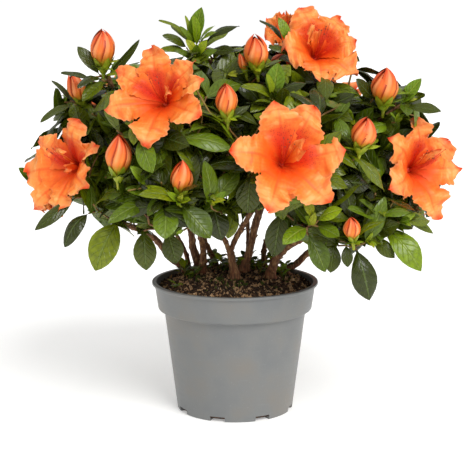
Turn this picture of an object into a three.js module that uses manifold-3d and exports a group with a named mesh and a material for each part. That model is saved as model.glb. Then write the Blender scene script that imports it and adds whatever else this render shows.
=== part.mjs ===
// Potted azalea: a grey nursery pot with its soil, a fan of woody stems, and a crown of leafy masses.
// Millimetres, +Z up, origin at the centre of the pot's flat underside, the front of the plant towards -Y.
import * as THREE from "three";
import { mergeVertices } from "three/addons/utils/BufferGeometryUtils.js";
import Module from "manifold-3d";

const wasm = await Module();
wasm.setup();

// ---- Driving dimensions -------------------------------------------------------------------------

const GAP = 0.35; // clearance between neighbouring solids

const POT = {
  height: 94, // underside to the top of the lip
  baseRadius: 42,
  baseBevel: 0.8,
  bodyTopRadius: 51.2,
  bodyTop: 73, // where the tapering body ends under the band
  bandBottom: 74.4,
  bandBottomRadius: 55.5,
  bandTop: 91.6,
  bandTopRadius: 58,
  lipRadius: 60,
  lipRound: 0.7,
  lipEdge: 0.4, // upright edge of the lip, between its two rounds
  wall: 1.3,
  neckDrop: 1, // how far the step inside lies under the step outside
  floor: 1.8,
  sides: 44,
};

// Drainage slots: first is the turn of the first one from the front, in degrees.
const DRAIN = { count: 8, first: 27.7, width: 11, height: 3.7, reach: 9, overrun: 3 };

const SOIL = { edge: 86, rise: 12, moundRadius: 54, moundBack: 8, rings: 5, sides: 28 };
const PAD = { spread: 1.25, skirt: 0.8, depth: 7, sides: 10 }; // heaped soil under each stem

const LIMB = { sides: 7, step: 10, fewestSteps: 3, flare: 0.75, flareHeight: 6, sunk: 4 };

// Masses: facets along an octahedron's edge, less one, and the size and spacing of their shallow waves.
const CROWN = { detail: 4, ripple: 0.045, waves: { x: 5, y: 6, z: 4 }, phasePerMm: 0.37, tipWidth: 0.1 };

const COLOURS = {
  pot: 0x8c9090,
  soil: 0x2b1d14,
  stem: 0x6b3f2c,
  bough: 0x75503a,
  foliage: 0x35501f,
};

// Stems: the foot on the soil, the points each one passes, the mass it grows into (or its fork, where it
// has none), and its radius at the foot and at the tip.
const STEMS = [
  {
    name: "stem_left_outer",
    foot: [-37, 28],
    through: [[-47, 27, 104], [-59, 24, 120]],
    into: "foliage_lower_left",
    radii: [2.3, 1.7],
  },
  {
    name: "stem_left_back_thin",
    foot: [-34.5, 37],
    through: [[-37.5, 41, 107], [-50, 52, 128]],
    into: "foliage_back_left",
    radii: [1.5, 1.1],
  },
  {
    name: "stem_left_thick",
    foot: [-27, 28],
    through: [[-31, 28, 112], [-34, 22, 131]],
    into: "foliage_upper_left",
    radii: [2.6, 1.9],
  },
  {
    name: "stem_left_inner",
    foot: [-23.5, 12],
    through: [[-23, 10, 110], [-24.5, 4, 124]],
    into: "foliage_front_left",
    radii: [2.2, 1.5],
  },
  {
    name: "stem_middle_back",
    foot: [-15, 32],
    through: [[-19, 38, 108], [-23, 42, 118]],
    into: "foliage_back_top",
    radii: [1.9, 1.3],
  },
  {
    name: "stem_centre",
    foot: [0, -12],
    through: [[-1.2, -12, 106], [-3.8, -12, 119]],
    radii: [2.5, 2.3],
  },
  {
    name: "stem_tall",
    foot: [7, 10],
    through: [[9.5, 8, 110], [12, 5, 121], [16, 1, 139]],
    into: "foliage_upper_right",
    radii: [2.8, 2],
  },
  {
    name: "stem_back_thin",
    foot: [9.5, 38],
    through: [[9.6, 40, 112], [9.6, 43, 128]],
    into: "foliage_back",
    radii: [1.4, 1.1],
  },
  {
    name: "stem_right_inner",
    foot: [26, -4],
    through: [[27, -6, 104], [30, -8, 112], [38.5, -9, 121]],
    into: "foliage_lower_right",
    radii: [2.9, 2.1],
  },
  {
    name: "stem_right_outer",
    foot: [38, 25],
    through: [[46, 25, 101], [54.5, 23, 110]],
    into: "foliage_right",
    radii: [2.3, 1.7],
  },
  {
    name: "stem_right_back",
    foot: [22, 36],
    through: [[22, 40, 110], [30, 48, 126]],
    into: "foliage_back_right",
    radii: [1.7, 1.2],
  },
];

// Boughs: each springs from a stem, given by the stem's name and the point of the fork.
const BOUGHS = [
  {
    name: "bough_centre_left",
    from: "stem_centre",
    start: [-3.8, -12, 117],
    through: [[-8, -15, 127]],
    into: "foliage_lower_front",
    radii: [1.7, 1.3],
  },
  {
    name: "bough_centre_right",
    from: "stem_centre",
    start: [-3.8, -12, 117],
    through: [[2.4, -12, 130]],
    into: "foliage_front_right",
    radii: [1.8, 1.4],
  },
  {
    name: "bough_right_inner",
    from: "stem_right_inner",
    start: [28.5, -7, 108],
    through: [[37, 2, 118]],
    into: "foliage_right_shoulder",
    radii: [1.6, 1.2],
  },
];

// Masses of foliage: centre, half sizes, and the shoot, bloom and leaf tips that stand out of each.
const MASSES = [
  {
    name: "foliage_top",
    centre: [-22, 4, 238],
    radii: [44, 46, 42],
    tips: [[-23, 2, 290], [-51, 6, 280], [2, 4, 274]],
  },
  {
    name: "foliage_upper_right",
    centre: [52, -2, 240],
    radii: [46, 46, 42],
    tips: [[53, -22, 291], [83, -22, 266], [24, 2, 283], [90, 6, 254]],
  },
  {
    name: "foliage_upper_left",
    centre: [-86, 2, 218],
    radii: [43, 46, 40],
    tips: [[-91, -14, 275], [-112, -2, 262], [-136, -2, 208], [-118, -8, 240]],
  },
  {
    name: "foliage_right_shoulder",
    centre: [100, 4, 206],
    radii: [42, 46, 36],
    tips: [[106, -22, 249], [131, -12, 240], [144, 6, 214]],
  },
  {
    name: "foliage_front_left",
    centre: [-50, -54, 214],
    radii: [42, 40, 38],
    tips: [[-55, -88, 258], [-18, -88, 250], [-54, -100, 206], [-6, -84, 236]],
  },
  {
    name: "foliage_front_right",
    centre: [38, -58, 194],
    radii: [48, 38, 42],
    tips: [[26, -92, 232], [78, -88, 200], [20, -96, 160], [66, -92, 166], [-2, -96, 196]],
  },
  {
    name: "foliage_left",
    centre: [-112, -16, 174],
    radii: [38, 46, 36],
    tips: [[-154, -22, 177], [-130, -42, 218], [-144, -22, 142], [-110, -64, 186]],
  },
  {
    name: "foliage_right",
    centre: [122, -14, 170],
    radii: [38, 46, 36],
    tips: [[165, -26, 178], [128, -36, 214], [142, -40, 146], [112, -62, 176]],
  },
  {
    name: "foliage_lower_left",
    centre: [-84, -38, 144],
    radii: [46, 44, 30],
    tips: [[-102, -42, 113], [-64, -48, 112], [-124, -30, 126], [-138, -26, 140]],
  },
  {
    name: "foliage_lower_front",
    centre: [-34, -68, 164],
    radii: [46, 36, 32],
    tips: [[-46, -78, 127], [-24, -90, 134], [-37, -98, 190], [-80, -88, 190]],
  },
  {
    name: "foliage_lower_right",
    centre: [82, -40, 146],
    radii: [50, 42, 30],
    tips: [[93, -62, 94], [62, -66, 114], [128, -44, 113], [76, -84, 154], [46, -64, 136]],
  },
  {
    name: "foliage_back_top",
    centre: [12, 56, 232],
    radii: [52, 46, 40],
    tips: [[-20, 78, 272], [40, 84, 268], [4, 104, 244]],
  },
  {
    name: "foliage_back_left",
    centre: [-78, 70, 178],
    radii: [52, 48, 46],
    tips: [[-118, 88, 216], [-132, 66, 158], [-86, 122, 190], [-74, 100, 122]],
  },
  {
    name: "foliage_back_right",
    centre: [86, 70, 178],
    radii: [52, 48, 46],
    tips: [[122, 84, 218], [142, 64, 160], [82, 124, 196], [92, 98, 118]],
  },
  {
    name: "foliage_back",
    centre: [4, 98, 176],
    radii: [48, 44, 48],
    tips: [[-22, 142, 206], [34, 146, 186], [2, 136, 134], [30, 126, 120]],
  },
];

// ---- Shared helpers -----------------------------------------------------------------------------

const vector = ([x, y, z]) => new THREE.Vector3(x, y, z);

const finish = (color, roughness) => new THREE.MeshStandardMaterial({ color, roughness, metalness: 0 });

/** A closed three.js geometry as a manifold-3d solid. */
function solid(geometry) {
  const plain = geometry.clone();
  plain.deleteAttribute("normal");
  plain.deleteAttribute("uv");
  const merged = mergeVertices(plain, 1e-4);
  return new wasm.Manifold(
    new wasm.Mesh({
      numProp: 3,
      vertProperties: new Float32Array(merged.attributes.position.array),
      triVerts: new Uint32Array(merged.index.array),
    }),
  );
}

/** A solid as a flat-shaded mesh with its name and material. */
function meshOf(name, body, material) {
  const { vertProperties, triVerts } = body.getMesh();
  const geometry = new THREE.BufferGeometry();
  geometry.setAttribute("position", new THREE.BufferAttribute(new Float32Array(vertProperties), 3));
  geometry.setIndex(new THREE.BufferAttribute(new Uint32Array(triVerts), 1));
  geometry.computeVertexNormals();
  const mesh = new THREE.Mesh(geometry, material);
  mesh.name = name;
  return mesh;
}

/** Turns a profile of [radius, height] points, listed from the axis outwards and up, about +Z. */
function turned(profile, sides) {
  const points = profile.map(([radius, height]) => new THREE.Vector2(radius, height));
  return new THREE.LatheGeometry(points, sides).rotateX(Math.PI / 2);
}

/** A block from its lowest and highest corners. */
function block(low, high) {
  const size = vector(high).sub(vector(low));
  const middle = vector(high).add(vector(low)).multiplyScalar(0.5);
  return new THREE.BoxGeometry(size.x, size.y, size.z).translate(middle.x, middle.y, middle.z);
}

// ---- Pot ----------------------------------------------------------------------------------------

/** Inner radius of the pot's wall at a height. */
function innerRadius(z) {
  const body = z / POT.bodyTop;
  const band = (z - POT.bandBottom) / (POT.bandTop - POT.bandBottom);
  const outer =
    z < POT.bodyTop
      ? THREE.MathUtils.lerp(POT.baseRadius, POT.bodyTopRadius, body)
      : THREE.MathUtils.lerp(POT.bandBottomRadius, POT.bandTopRadius, band);
  return outer - POT.wall;
}

/** The moulded pot: tapering body, step, band and thin rolled lip, open at the top. */
function potShell() {
  const lipBottom = POT.height - 2 * POT.lipRound - POT.lipEdge;
  const shoulder = POT.bandBottom + POT.wall;
  const neck = POT.bodyTop - POT.neckDrop;
  const outside = [
    [0, 0],
    [POT.baseRadius - POT.baseBevel, 0],
    [POT.baseRadius, POT.baseBevel],
    [POT.bodyTopRadius, POT.bodyTop],
    [POT.bandBottomRadius, POT.bandBottom],
    [POT.bandTopRadius, POT.bandTop],
    [POT.lipRadius, lipBottom],
    [POT.lipRadius, POT.height - POT.lipRound],
    [POT.lipRadius - POT.lipRound, POT.height],
  ];
  const inside = [
    [POT.bandTopRadius - POT.wall + POT.lipRound, POT.height],
    [innerRadius(POT.bandTop), POT.bandTop],
    [innerRadius(shoulder), shoulder],
    [innerRadius(neck), neck],
    [innerRadius(POT.floor), POT.floor],
    [0, POT.floor],
  ];
  return solid(turned([...outside, ...inside], POT.sides));
}

/** Drainage slots round the foot, through the wall and the edge of the floor. */
function drainSlots() {
  const low = [-DRAIN.width / 2, -POT.baseRadius - DRAIN.overrun, -DRAIN.overrun];
  const high = [DRAIN.width / 2, -POT.baseRadius + DRAIN.reach, DRAIN.height];
  return Array.from({ length: DRAIN.count }, (_, i) => {
    const turn = DRAIN.first + (i * 360) / DRAIN.count;
    return solid(block(low, high).rotateZ(THREE.MathUtils.degToRad(turn)));
  });
}

function makePot() {
  const body = drainSlots().reduce((shell, slot) => shell.subtract(slot), potShell());
  return meshOf("pot", body, finish(COLOURS.pot, 0.45));
}

// ---- Soil ---------------------------------------------------------------------------------------

/** Height of the soil's mound above a point. */
function soilHeight(x, y) {
  const away = Math.hypot(x, y - SOIL.moundBack) / SOIL.moundRadius;
  return SOIL.edge + SOIL.rise * Math.max(0, 1 - away * away);
}

/** The level of the flat cut under a stem: the highest soil within its foot. */
function footLevel({ foot: [x, y], radii: [radius] }) {
  const wide = radius * (1 + LIMB.flare);
  const spots = Array.from({ length: PAD.sides }, (_, i) => {
    const turn = (2 * Math.PI * i) / PAD.sides;
    return soilHeight(x + wide * Math.cos(turn), y + wide * Math.sin(turn));
  });
  return Math.max(...spots, soilHeight(x, y)) + GAP;
}

/** The fill of the pot, from just above its floor up to the mounded top. */
function soilFill() {
  const clear = (z) => innerRadius(z) - GAP;
  const bottom = POT.floor + GAP;
  const shoulder = POT.bandBottom + POT.wall + GAP;
  const neck = POT.bodyTop - POT.neckDrop;
  const wall = [
    [0, bottom],
    [clear(bottom), bottom],
    [clear(neck), neck],
    [clear(shoulder), shoulder],
    [clear(SOIL.edge), SOIL.edge],
  ];
  const top = Array.from({ length: SOIL.rings }, (_, i) => {
    const radius = clear(SOIL.edge) * (1 - (i + 1) / SOIL.rings);
    return [radius, SOIL.edge];
  });
  const geometry = turned([...wall, ...top], SOIL.sides);
  const position = geometry.attributes.position;
  for (let i = 0; i < position.count; i++) {
    const [x, y, z] = [position.getX(i), position.getY(i), position.getZ(i)];
    const insideRim = Math.hypot(x, y) < clear(SOIL.edge) - GAP;
    if (insideRim && z > SOIL.edge - GAP) position.setZ(i, soilHeight(x, y));
  }
  return solid(geometry);
}

/** The little heap under a stem, flat on top, sunk in the fill. */
function soilPad(stem) {
  const [x, y] = stem.foot;
  const top = footLevel(stem) - GAP;
  const radius = stem.radii[0] * (1 + LIMB.flare) * PAD.spread;
  const cone = new THREE.CylinderGeometry(radius, radius + PAD.skirt, PAD.depth, PAD.sides);
  return solid(cone.rotateX(Math.PI / 2).translate(x, y, top - PAD.depth / 2));
}

function makeSoil() {
  const body = STEMS.reduce((fill, stem) => fill.add(soilPad(stem)), soilFill());
  return meshOf("soil", body, finish(COLOURS.soil, 0.95));
}

// ---- Stems and boughs ---------------------------------------------------------------------------

/** A round limb along a smooth path, its radius given by a function of the distance from its start. */
function limb(points, radiusAt) {
  const curve = new THREE.CatmullRomCurve3(points, false, "centripetal");
  const length = curve.getLength();
  const steps = Math.max(LIMB.fewestSteps, Math.round(length / LIMB.step));
  const { normals, binormals } = curve.computeFrenetFrames(steps, false);
  const rings = Array.from({ length: steps + 1 }, (_, i) => curve.getPointAt(i / steps));
  const geometry = new THREE.CylinderGeometry(1, 1, 1, LIMB.sides, steps);
  const position = geometry.attributes.position;
  for (let i = 0; i < position.count; i++) {
    const step = Math.round((position.getY(i) + 0.5) * steps);
    const radius = radiusAt((step / steps) * length);
    const point = rings[step]
      .clone()
      .addScaledVector(normals[step], position.getZ(i) * radius)
      .addScaledVector(binormals[step], position.getX(i) * radius);
    position.setXYZ(i, point.x, point.y, point.z);
  }
  return solid(geometry);
}

/** Radius along a stem: a flared root collar, then a steady taper to the tip. */
function stemRadius([foot, tip], length, extra = 0) {
  return (distance) => {
    const above = Math.max(0, distance - LIMB.sunk);
    const flare = LIMB.flare * Math.exp(-above / LIMB.flareHeight);
    return THREE.MathUtils.lerp(foot, tip, Math.min(1, distance / length)) * (1 + flare) + extra;
  };
}

/** The points of a limb beyond its start: those it passes and, if it has one, the middle of its mass. */
function pathOf({ through, into }) {
  const ends = MASSES.filter((mass) => mass.name === into).map((mass) => mass.centre);
  return [...through, ...ends].map(vector);
}

/** A stem's solid, cut flat at the soil, grown all round by extra. */
function stemSolid(stem, extra = 0) {
  const level = footLevel(stem);
  const [x, y] = stem.foot;
  const root = new THREE.Vector3(x, y, level - LIMB.sunk);
  const collar = new THREE.Vector3(x, y, level + LIMB.sunk);
  const points = [root, collar, ...pathOf(stem)];
  const [before, last] = points.slice(-2);
  last.add(last.clone().sub(before).setLength(extra));
  const length = new THREE.CatmullRomCurve3(points, false, "centripetal").getLength();
  const wide = 3 * LIMB.sunk;
  const below = solid(block([x - wide, y - wide, level - wide], [x + wide, y + wide, level]));
  return limb(points, stemRadius(stem.radii, length, extra)).subtract(below);
}

/** A bough's solid, an even taper from its fork to its tip, grown all round by extra. */
function boughSolid(bough, extra = 0) {
  const [thick, thin] = bough.radii;
  const points = [vector(bough.start), ...pathOf(bough)];
  const length = new THREE.CatmullRomCurve3(points, false, "centripetal").getLength();
  return limb(points, (distance) => THREE.MathUtils.lerp(thick, thin, distance / length) + extra);
}

/** The part of a limb outside the masses that holds on to its lowest point. */
function endAtMasses(body, grownMasses) {
  const outside = grownMasses.reduce((rest, mass) => rest.subtract(mass), body);
  const lowest = (piece) => piece.boundingBox().min[2];
  return outside.decompose().reduce((a, b) => (lowest(b) < lowest(a) ? b : a));
}

function makeStems(grownMasses) {
  return STEMS.map((stem) => {
    const body = endAtMasses(stemSolid(stem), grownMasses);
    return meshOf(stem.name, body, finish(COLOURS.stem, 0.85));
  });
}

/** Each bough is cut back from the stem it springs from and from the boughs before it. */
function makeBoughs(grownMasses) {
  return BOUGHS.map((bough, i) => {
    const parent = STEMS.find((stem) => stem.name === bough.from);
    const sprung = BOUGHS.slice(0, i).reduce(
      (rest, other) => rest.subtract(boughSolid(other, GAP)),
      boughSolid(bough).subtract(stemSolid(parent, GAP)),
    );
    const top = (piece) => piece.boundingBox().max[2];
    const free = sprung.decompose().reduce((a, b) => (top(b) > top(a) ? b : a));
    return meshOf(bough.name, endAtMasses(free, grownMasses), finish(COLOURS.bough, 0.85));
  });
}

// ---- Masses of foliage --------------------------------------------------------------------------

/** Shallow waves over a mass, different on each one because they are set by its centre. */
function ripple(direction, centre) {
  const wave = (axis) => Math.sin(CROWN.waves[axis] * direction[axis] + CROWN.phasePerMm * centre[axis]);
  return CROWN.ripple * (wave("x") + wave("y") + wave("z"));
}

/** A mass's solid: an uneven ellipsoid drawn out to each of its tips, grown all round by extra. */
function massSolid({ centre, radii, tips }, extra = 0) {
  const middle = vector(centre);
  const half = vector(radii);
  const reaches = tips.map((tip) => {
    const scaled = vector(tip).sub(middle).divide(half);
    return { direction: scaled.clone().normalize(), reach: scaled.length() };
  });
  const geometry = new THREE.OctahedronGeometry(1, CROWN.detail);
  const position = geometry.attributes.position;
  const point = new THREE.Vector3();
  for (let i = 0; i < position.count; i++) {
    const direction = point.fromBufferAttribute(position, i).normalize();
    const round = 1 + ripple(direction, middle);
    const drawn = reaches.map(
      (tip) => (tip.reach - round) * Math.exp((direction.dot(tip.direction) - 1) / CROWN.tipWidth),
    );
    const out = direction.clone().multiply(half).multiplyScalar(round + Math.max(0, ...drawn));
    out.addScaledVector(out.clone().normalize(), extra).add(middle);
    position.setXYZ(i, out.x, out.y, out.z);
  }
  return solid(geometry);
}

/** The masses side by side: each is cut back from those before it. */
function makeMasses() {
  return MASSES.map((mass, i) => {
    const body = MASSES.slice(0, i).reduce(
      (rest, other) => rest.subtract(massSolid(other, 2 * GAP)),
      massSolid(mass),
    );
    const largest = body.decompose().reduce((a, b) => (b.volume() > a.volume() ? b : a));
    return meshOf(mass.name, largest, finish(COLOURS.foliage, 0.55));
  });
}

// ---- Assembly -----------------------------------------------------------------------------------

const grownMasses = MASSES.map((mass) => massSolid(mass, 2 * GAP));

const azalea = new THREE.Group();
azalea.add(makePot(), makeSoil());
azalea.add(...makeStems(grownMasses));
azalea.add(...makeBoughs(grownMasses));
azalea.add(...makeMasses());

export default azalea;
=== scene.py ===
"""A potted azalea shrub in bloom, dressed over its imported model.

Sizes are in millimetres and turn into metres where a mesh is made. +Z is up, the front is towards -Y.
"""

import logging
from collections.abc import Callable, Sequence
from dataclasses import dataclass, field
from enum import Enum
from functools import partial
from math import cos, hypot, pi, radians, sin, sqrt

import bpy
import numpy as np
from bpy.types import Collection, Material, Mesh, NodeOutputs
from bpy.types import NodeSocket as Socket
from bpy.types import NodeTree as Tree
from bpy.types import Object as Thing
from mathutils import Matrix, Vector, noise
from numpy import arange, array, linspace
from numpy import ndarray as Array
from numpy.linalg import norm
from numpy.random import Generator, default_rng

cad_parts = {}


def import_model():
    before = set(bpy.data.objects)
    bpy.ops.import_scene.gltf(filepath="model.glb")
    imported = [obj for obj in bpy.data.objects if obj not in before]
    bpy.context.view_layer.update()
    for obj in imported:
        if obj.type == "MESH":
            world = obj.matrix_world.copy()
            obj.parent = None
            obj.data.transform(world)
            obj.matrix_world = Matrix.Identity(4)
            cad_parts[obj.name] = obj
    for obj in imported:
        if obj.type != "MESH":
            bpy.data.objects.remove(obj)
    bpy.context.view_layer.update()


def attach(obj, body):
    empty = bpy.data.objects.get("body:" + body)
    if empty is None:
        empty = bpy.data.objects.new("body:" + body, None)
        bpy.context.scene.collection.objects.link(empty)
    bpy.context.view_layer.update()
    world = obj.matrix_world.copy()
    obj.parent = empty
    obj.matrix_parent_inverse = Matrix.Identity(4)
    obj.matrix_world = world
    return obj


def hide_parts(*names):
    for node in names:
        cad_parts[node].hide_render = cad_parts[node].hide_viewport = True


Point = tuple[float, float, float]
Pairs = tuple[tuple[float, float], ...]
Stops = Sequence[tuple[float, str]]  # places and hex colours along a ramp
Add = Callable[..., Socket]  # adds a node to one tree and gives its output

log = logging.getLogger("azalea")

METRES = 0.001
MAP_NAME = "OFBake"  # the map that leaves and petals bring, across and along each one
SEED = 27
UP = array([0.0, 0.0, 1.0])
FRONT_EYE = array([0.0, -967.0, 303.0])  # where the plant is looked at from
GOLDEN_TURN = pi * (3 - sqrt(5))
OCTAHEDRON = array([(0, 2, 4), (2, 1, 4), (1, 3, 4), (3, 0, 4), (2, 0, 5), (1, 2, 5), (3, 1, 5), (0, 3, 5)])


# ---- Plain helpers ----


def unit(vector: Sequence[float]) -> Array:
    """A vector at length one."""
    values = np.asarray(vector, float)
    return values / norm(values)


def xyz(values: Sequence[float]) -> Array:
    """A place, given as X, Y and Z."""
    return array(values, float)


def across(axis: Array, wish: Array) -> Array:
    """A wished direction made square to an axis, at length one.

    Args:
        axis: The axis, at length one.
        wish: The wished direction.

    Returns:
        The direction, or any one square to the axis where the wish lies along it.
    """
    side = wish - axis * float(wish @ axis)
    if norm(side) < 1e-3:
        side = np.cross(axis, [0.31, 0.87, 0.38])
    return unit(side)


def spoke(axis: Array, wish: Sequence[float], turn: float) -> Array:
    """The direction square to an axis that lies a turn away from a wished one."""
    side = across(axis, np.asarray(wish))
    return side * cos(turn) + np.cross(axis, side) * sin(turn)


def noise_at(*parts: Array | float) -> Array:
    """Smooth noise at places given by their three parts."""
    spots = np.stack(np.broadcast_arrays(*parts), axis=-1)
    return np.apply_along_axis(lambda spot: noise.noise(Vector(spot)), -1, spots)


def rows_of(*parts: Array) -> Array:
    """Values over a grid, one row for each of its points."""
    return np.stack(np.broadcast_arrays(*parts), axis=-1).reshape(-1, len(parts))


def turned(section: Array, sides: int) -> Array:
    """The points of a section, given as radius and height, turned round the Z axis."""
    turns = 2 * pi * arange(sides) / sides
    ring = np.stack([np.cos(turns), np.sin(turns)], axis=1)
    flat = (section[:, None, :1] * ring[None]).reshape(-1, 2)
    return np.column_stack([flat, np.repeat(section[:, 1], sides)])


def smooth_step(low: float, high: float, value: Array) -> Array:
    """Rises smoothly from 0 at low to 1 at high."""
    share = np.clip((value - low) / (high - low), 0, 1)
    return share * share * (3 - 2 * share)


def linear(colour: str) -> tuple[float, float, float, float]:
    """An sRGB hex colour as linear red, green, blue and alpha."""
    parts = [int(colour[i : i + 2], 16) / 255 for i in (1, 3, 5)]
    red, green, blue = (p / 12.92 if p <= 0.04045 else ((p + 0.055) / 1.055) ** 2.4 for p in parts)
    return red, green, blue, 1.0


def smooth_path(points: Sequence[Sequence[float]], spacing: float) -> Array:
    """A centripetal Catmull-Rom curve through points, as rows of even steps.

    Args:
        points: What the curve passes.
        spacing: The distance between steps.
    """
    given = [np.asarray(p, float) for p in points]
    ends = [2 * given[0] - given[1], *given, 2 * given[-1] - given[-2]]
    fine: list[Array] = []
    for a, b, c, d in zip(ends, ends[1:], ends[2:], ends[3:]):
        ab, bc, cd = (sqrt(norm(q - p)) for p, q in ((a, b), (b, c), (c, d)))
        start = ((b - a) / ab - (c - a) / (ab + bc) + (c - b) / bc) * bc
        stop = ((c - b) / bc - (d - b) / (bc + cd) + (d - c) / cd) * bc
        for t in linspace(0, 1, 24, endpoint=False):
            fine.append(hermite(b, c, start, stop, t))
    fine.append(given[-1])
    curve = array(fine)
    run = np.concatenate([[0], np.cumsum(norm(np.diff(curve, axis=0), axis=1))])
    steps = max(3, int(round(run[-1] / spacing)))
    even = linspace(0, run[-1], steps + 1)
    return np.stack([np.interp(even, run, curve[:, i]) for i in range(3)], axis=1)


def hermite(start: Array, stop: Array, leave: Array, arrive: Array, t: float) -> Array:
    """A point on a cubic between two points with given tangents."""
    a = 2 * t**3 - 3 * t**2 + 1
    b = t**3 - 2 * t**2 + t
    c = -2 * t**3 + 3 * t**2
    d = t**3 - t**2
    return a * start + b * leave + c * stop + d * arrive


# ---- Meshes ----


def grid_faces(rows: int, columns: int, wrap: bool = False) -> Array:
    """Quads over a grid of points, row by row.

    Args:
        rows: Points along.
        columns: Points across.
        wrap: True where the last column joins the first.
    """
    i, j = np.meshgrid(arange(rows - 1), arange(columns if wrap else columns - 1), indexing="ij")
    k = (j + 1) % columns
    quads = np.stack(
        [i * columns + j, i * columns + k, (i + 1) * columns + k, (i + 1) * columns + j], axis=-1,
    )
    return quads.reshape(-1, 4)


class MeshBin:
    """Many small shapes gathered into one mesh."""

    def __init__(self) -> None:
        """Starts empty."""
        self.points: list[Array] = []
        self.faces: list[Array] = []
        self.maps: list[Array] = []
        self.count = 0

    def add(self, points: Array, *faces: Array, uv: Array | None = None) -> None:
        """Adds one shape: points in mm, arrays of faces with three or four points, map values."""
        self.points.append(points)
        self.faces += [f + self.count for f in faces if len(f)]
        self.maps.append(np.zeros((len(points), 2)) if uv is None else uv)
        self.count += len(points)

    def mesh(self, name: str, mapped: bool = False) -> Mesh:
        """The gathered shapes as one Blender mesh.

        Args:
            name: The mesh's name.
            mapped: True to keep the map values.

        Returns:
            The mesh, in metres.
        """
        made = bpy.data.meshes.new(name)
        points = np.concatenate(self.points) * METRES
        loops = np.concatenate([f.ravel() for f in self.faces])
        sizes = np.concatenate([np.full(len(f), f.shape[1]) for f in self.faces])
        made.vertices.add(len(points))
        made.vertices.foreach_set("co", points.astype(np.float32).ravel())
        made.loops.add(len(loops))
        made.loops.foreach_set("vertex_index", loops.astype(np.int32))
        made.polygons.add(len(sizes))
        starts = np.concatenate([[0], np.cumsum(sizes)[:-1]])
        made.polygons.foreach_set("loop_start", starts.astype(np.int32))
        made.update(calc_edges=True)
        made.shade_smooth()
        if mapped:
            layer = made.uv_layers.new(name=MAP_NAME)
            values = np.concatenate(self.maps)[loops]
            layer.uv.foreach_set("vector", values.astype(np.float32).ravel())
        made.validate()
        return made


def one_mesh(name: str, points: Array, *faces: Array, uv: Array | None = None) -> Mesh:
    """A mesh of one shape."""
    bin_ = MeshBin()
    bin_.add(points, *faces, uv=uv)
    return bin_.mesh(name, uv is not None)


def add_rings(bin_: MeshBin, rings: Array, sides: int, ends: Sequence, flip: bool = False) -> None:
    """Adds rings of points joined to each other, closed at both ends.

    Args:
        bin_: Where they go.
        rings: Their points in order.
        sides: How many points a ring has.
        ends: The point that closes each end.
        flip: True where the faces look the other way.
    """
    last = len(rings)
    here = arange(sides)
    there = (here + 1) % sides
    high = last - sides
    foot = rows_of(last, there, here)
    tip = rows_of(last + 1, high + here, high + there)
    faces = (grid_faces(last // sides, sides, wrap=True), foot, tip)
    bin_.add(np.vstack([rings, ends]), *(f[:, ::-1] if flip else f for f in faces))


def sweep(bin_: MeshBin, path: Array, radii: Array, relief: Array | float = 1.0) -> None:
    """Adds a round limb along a path, closed at both ends.

    Args:
        bin_: Where it goes.
        path: The points along its middle.
        radii: Its radius at each point.
        relief: A factor for each point and side, or 1 for six plain sides.
    """
    sides = relief.shape[1] if isinstance(relief, Array) else 6
    along = np.gradient(path, axis=0)
    along /= norm(along, axis=1)[:, None]
    normal = across(along[0], array([0.0, -1.0, 0.0]))
    turns = 2 * pi * arange(sides) / sides
    rows = []
    factors = np.broadcast_to(relief, (len(path), sides))
    for point, direction, radius, factor in zip(path, along, radii, factors):
        normal = across(direction, normal)
        ring = np.outer(np.cos(turns), normal) + np.outer(np.sin(turns), np.cross(direction, normal))
        rows.append(point + ring * (radius * factor)[:, None])
    add_rings(bin_, np.concatenate(rows), sides, [path[0] - along[0] * radii[0] * 0.1, path[-1]])


def put(name: str, data: object) -> Thing:
    """Puts an object with some data in the scene."""
    thing = bpy.data.objects.new(name, data)
    bpy.context.scene.collection.objects.link(thing)
    return thing


def dress(mesh: Mesh, finish: "Finish") -> Mesh:
    """Gives a mesh its one finish."""
    mesh.materials.clear()
    mesh.materials.append(finish.material())
    return mesh


def settle(name: str, mesh: Mesh, finish: "Finish", nodes: Sequence[str]) -> None:
    """Makes a finished piece, fixes it to the body and hides the parts that it stands for.

    Args:
        name: The piece's name.
        mesh: Its mesh.
        finish: Its finish.
        nodes: The nodes it replaces.
    """
    thing = put(name, dress(mesh, finish))
    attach(thing, "root")
    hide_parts(*nodes)
    mesh.calc_loop_triangles()
    log.info("%s: %d triangles", name, len(mesh.loop_triangles))


# ---- Node trees ----

COORDS = "ShaderNodeTexCoord"
OWN_MAP = "ShaderNodeUVMap"
SPLIT = "ShaderNodeSeparateXYZ"
MAPPING = "ShaderNodeMapping"
NOISE = "ShaderNodeTexNoise"
CELLS = "ShaderNodeTexVoronoi"
RAMP = "ShaderNodeValToRGB"
BUMP = "ShaderNodeBump"
MATH = "ShaderNodeMath"
MIX = "ShaderNodeMix"
FADE = "ShaderNodeMapRange"  # its inputs are the value, from, to, least and most
TIMES_PLUS = {"operation": "MULTIPLY_ADD"}
USUAL = {
    MATH: {"operation": "MULTIPLY"},
    MIX: {"data_type": "RGBA"},
    FADE: {"interpolation_type": "SMOOTHSTEP"},
    OWN_MAP: {"uv_map": MAP_NAME},
}


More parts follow.
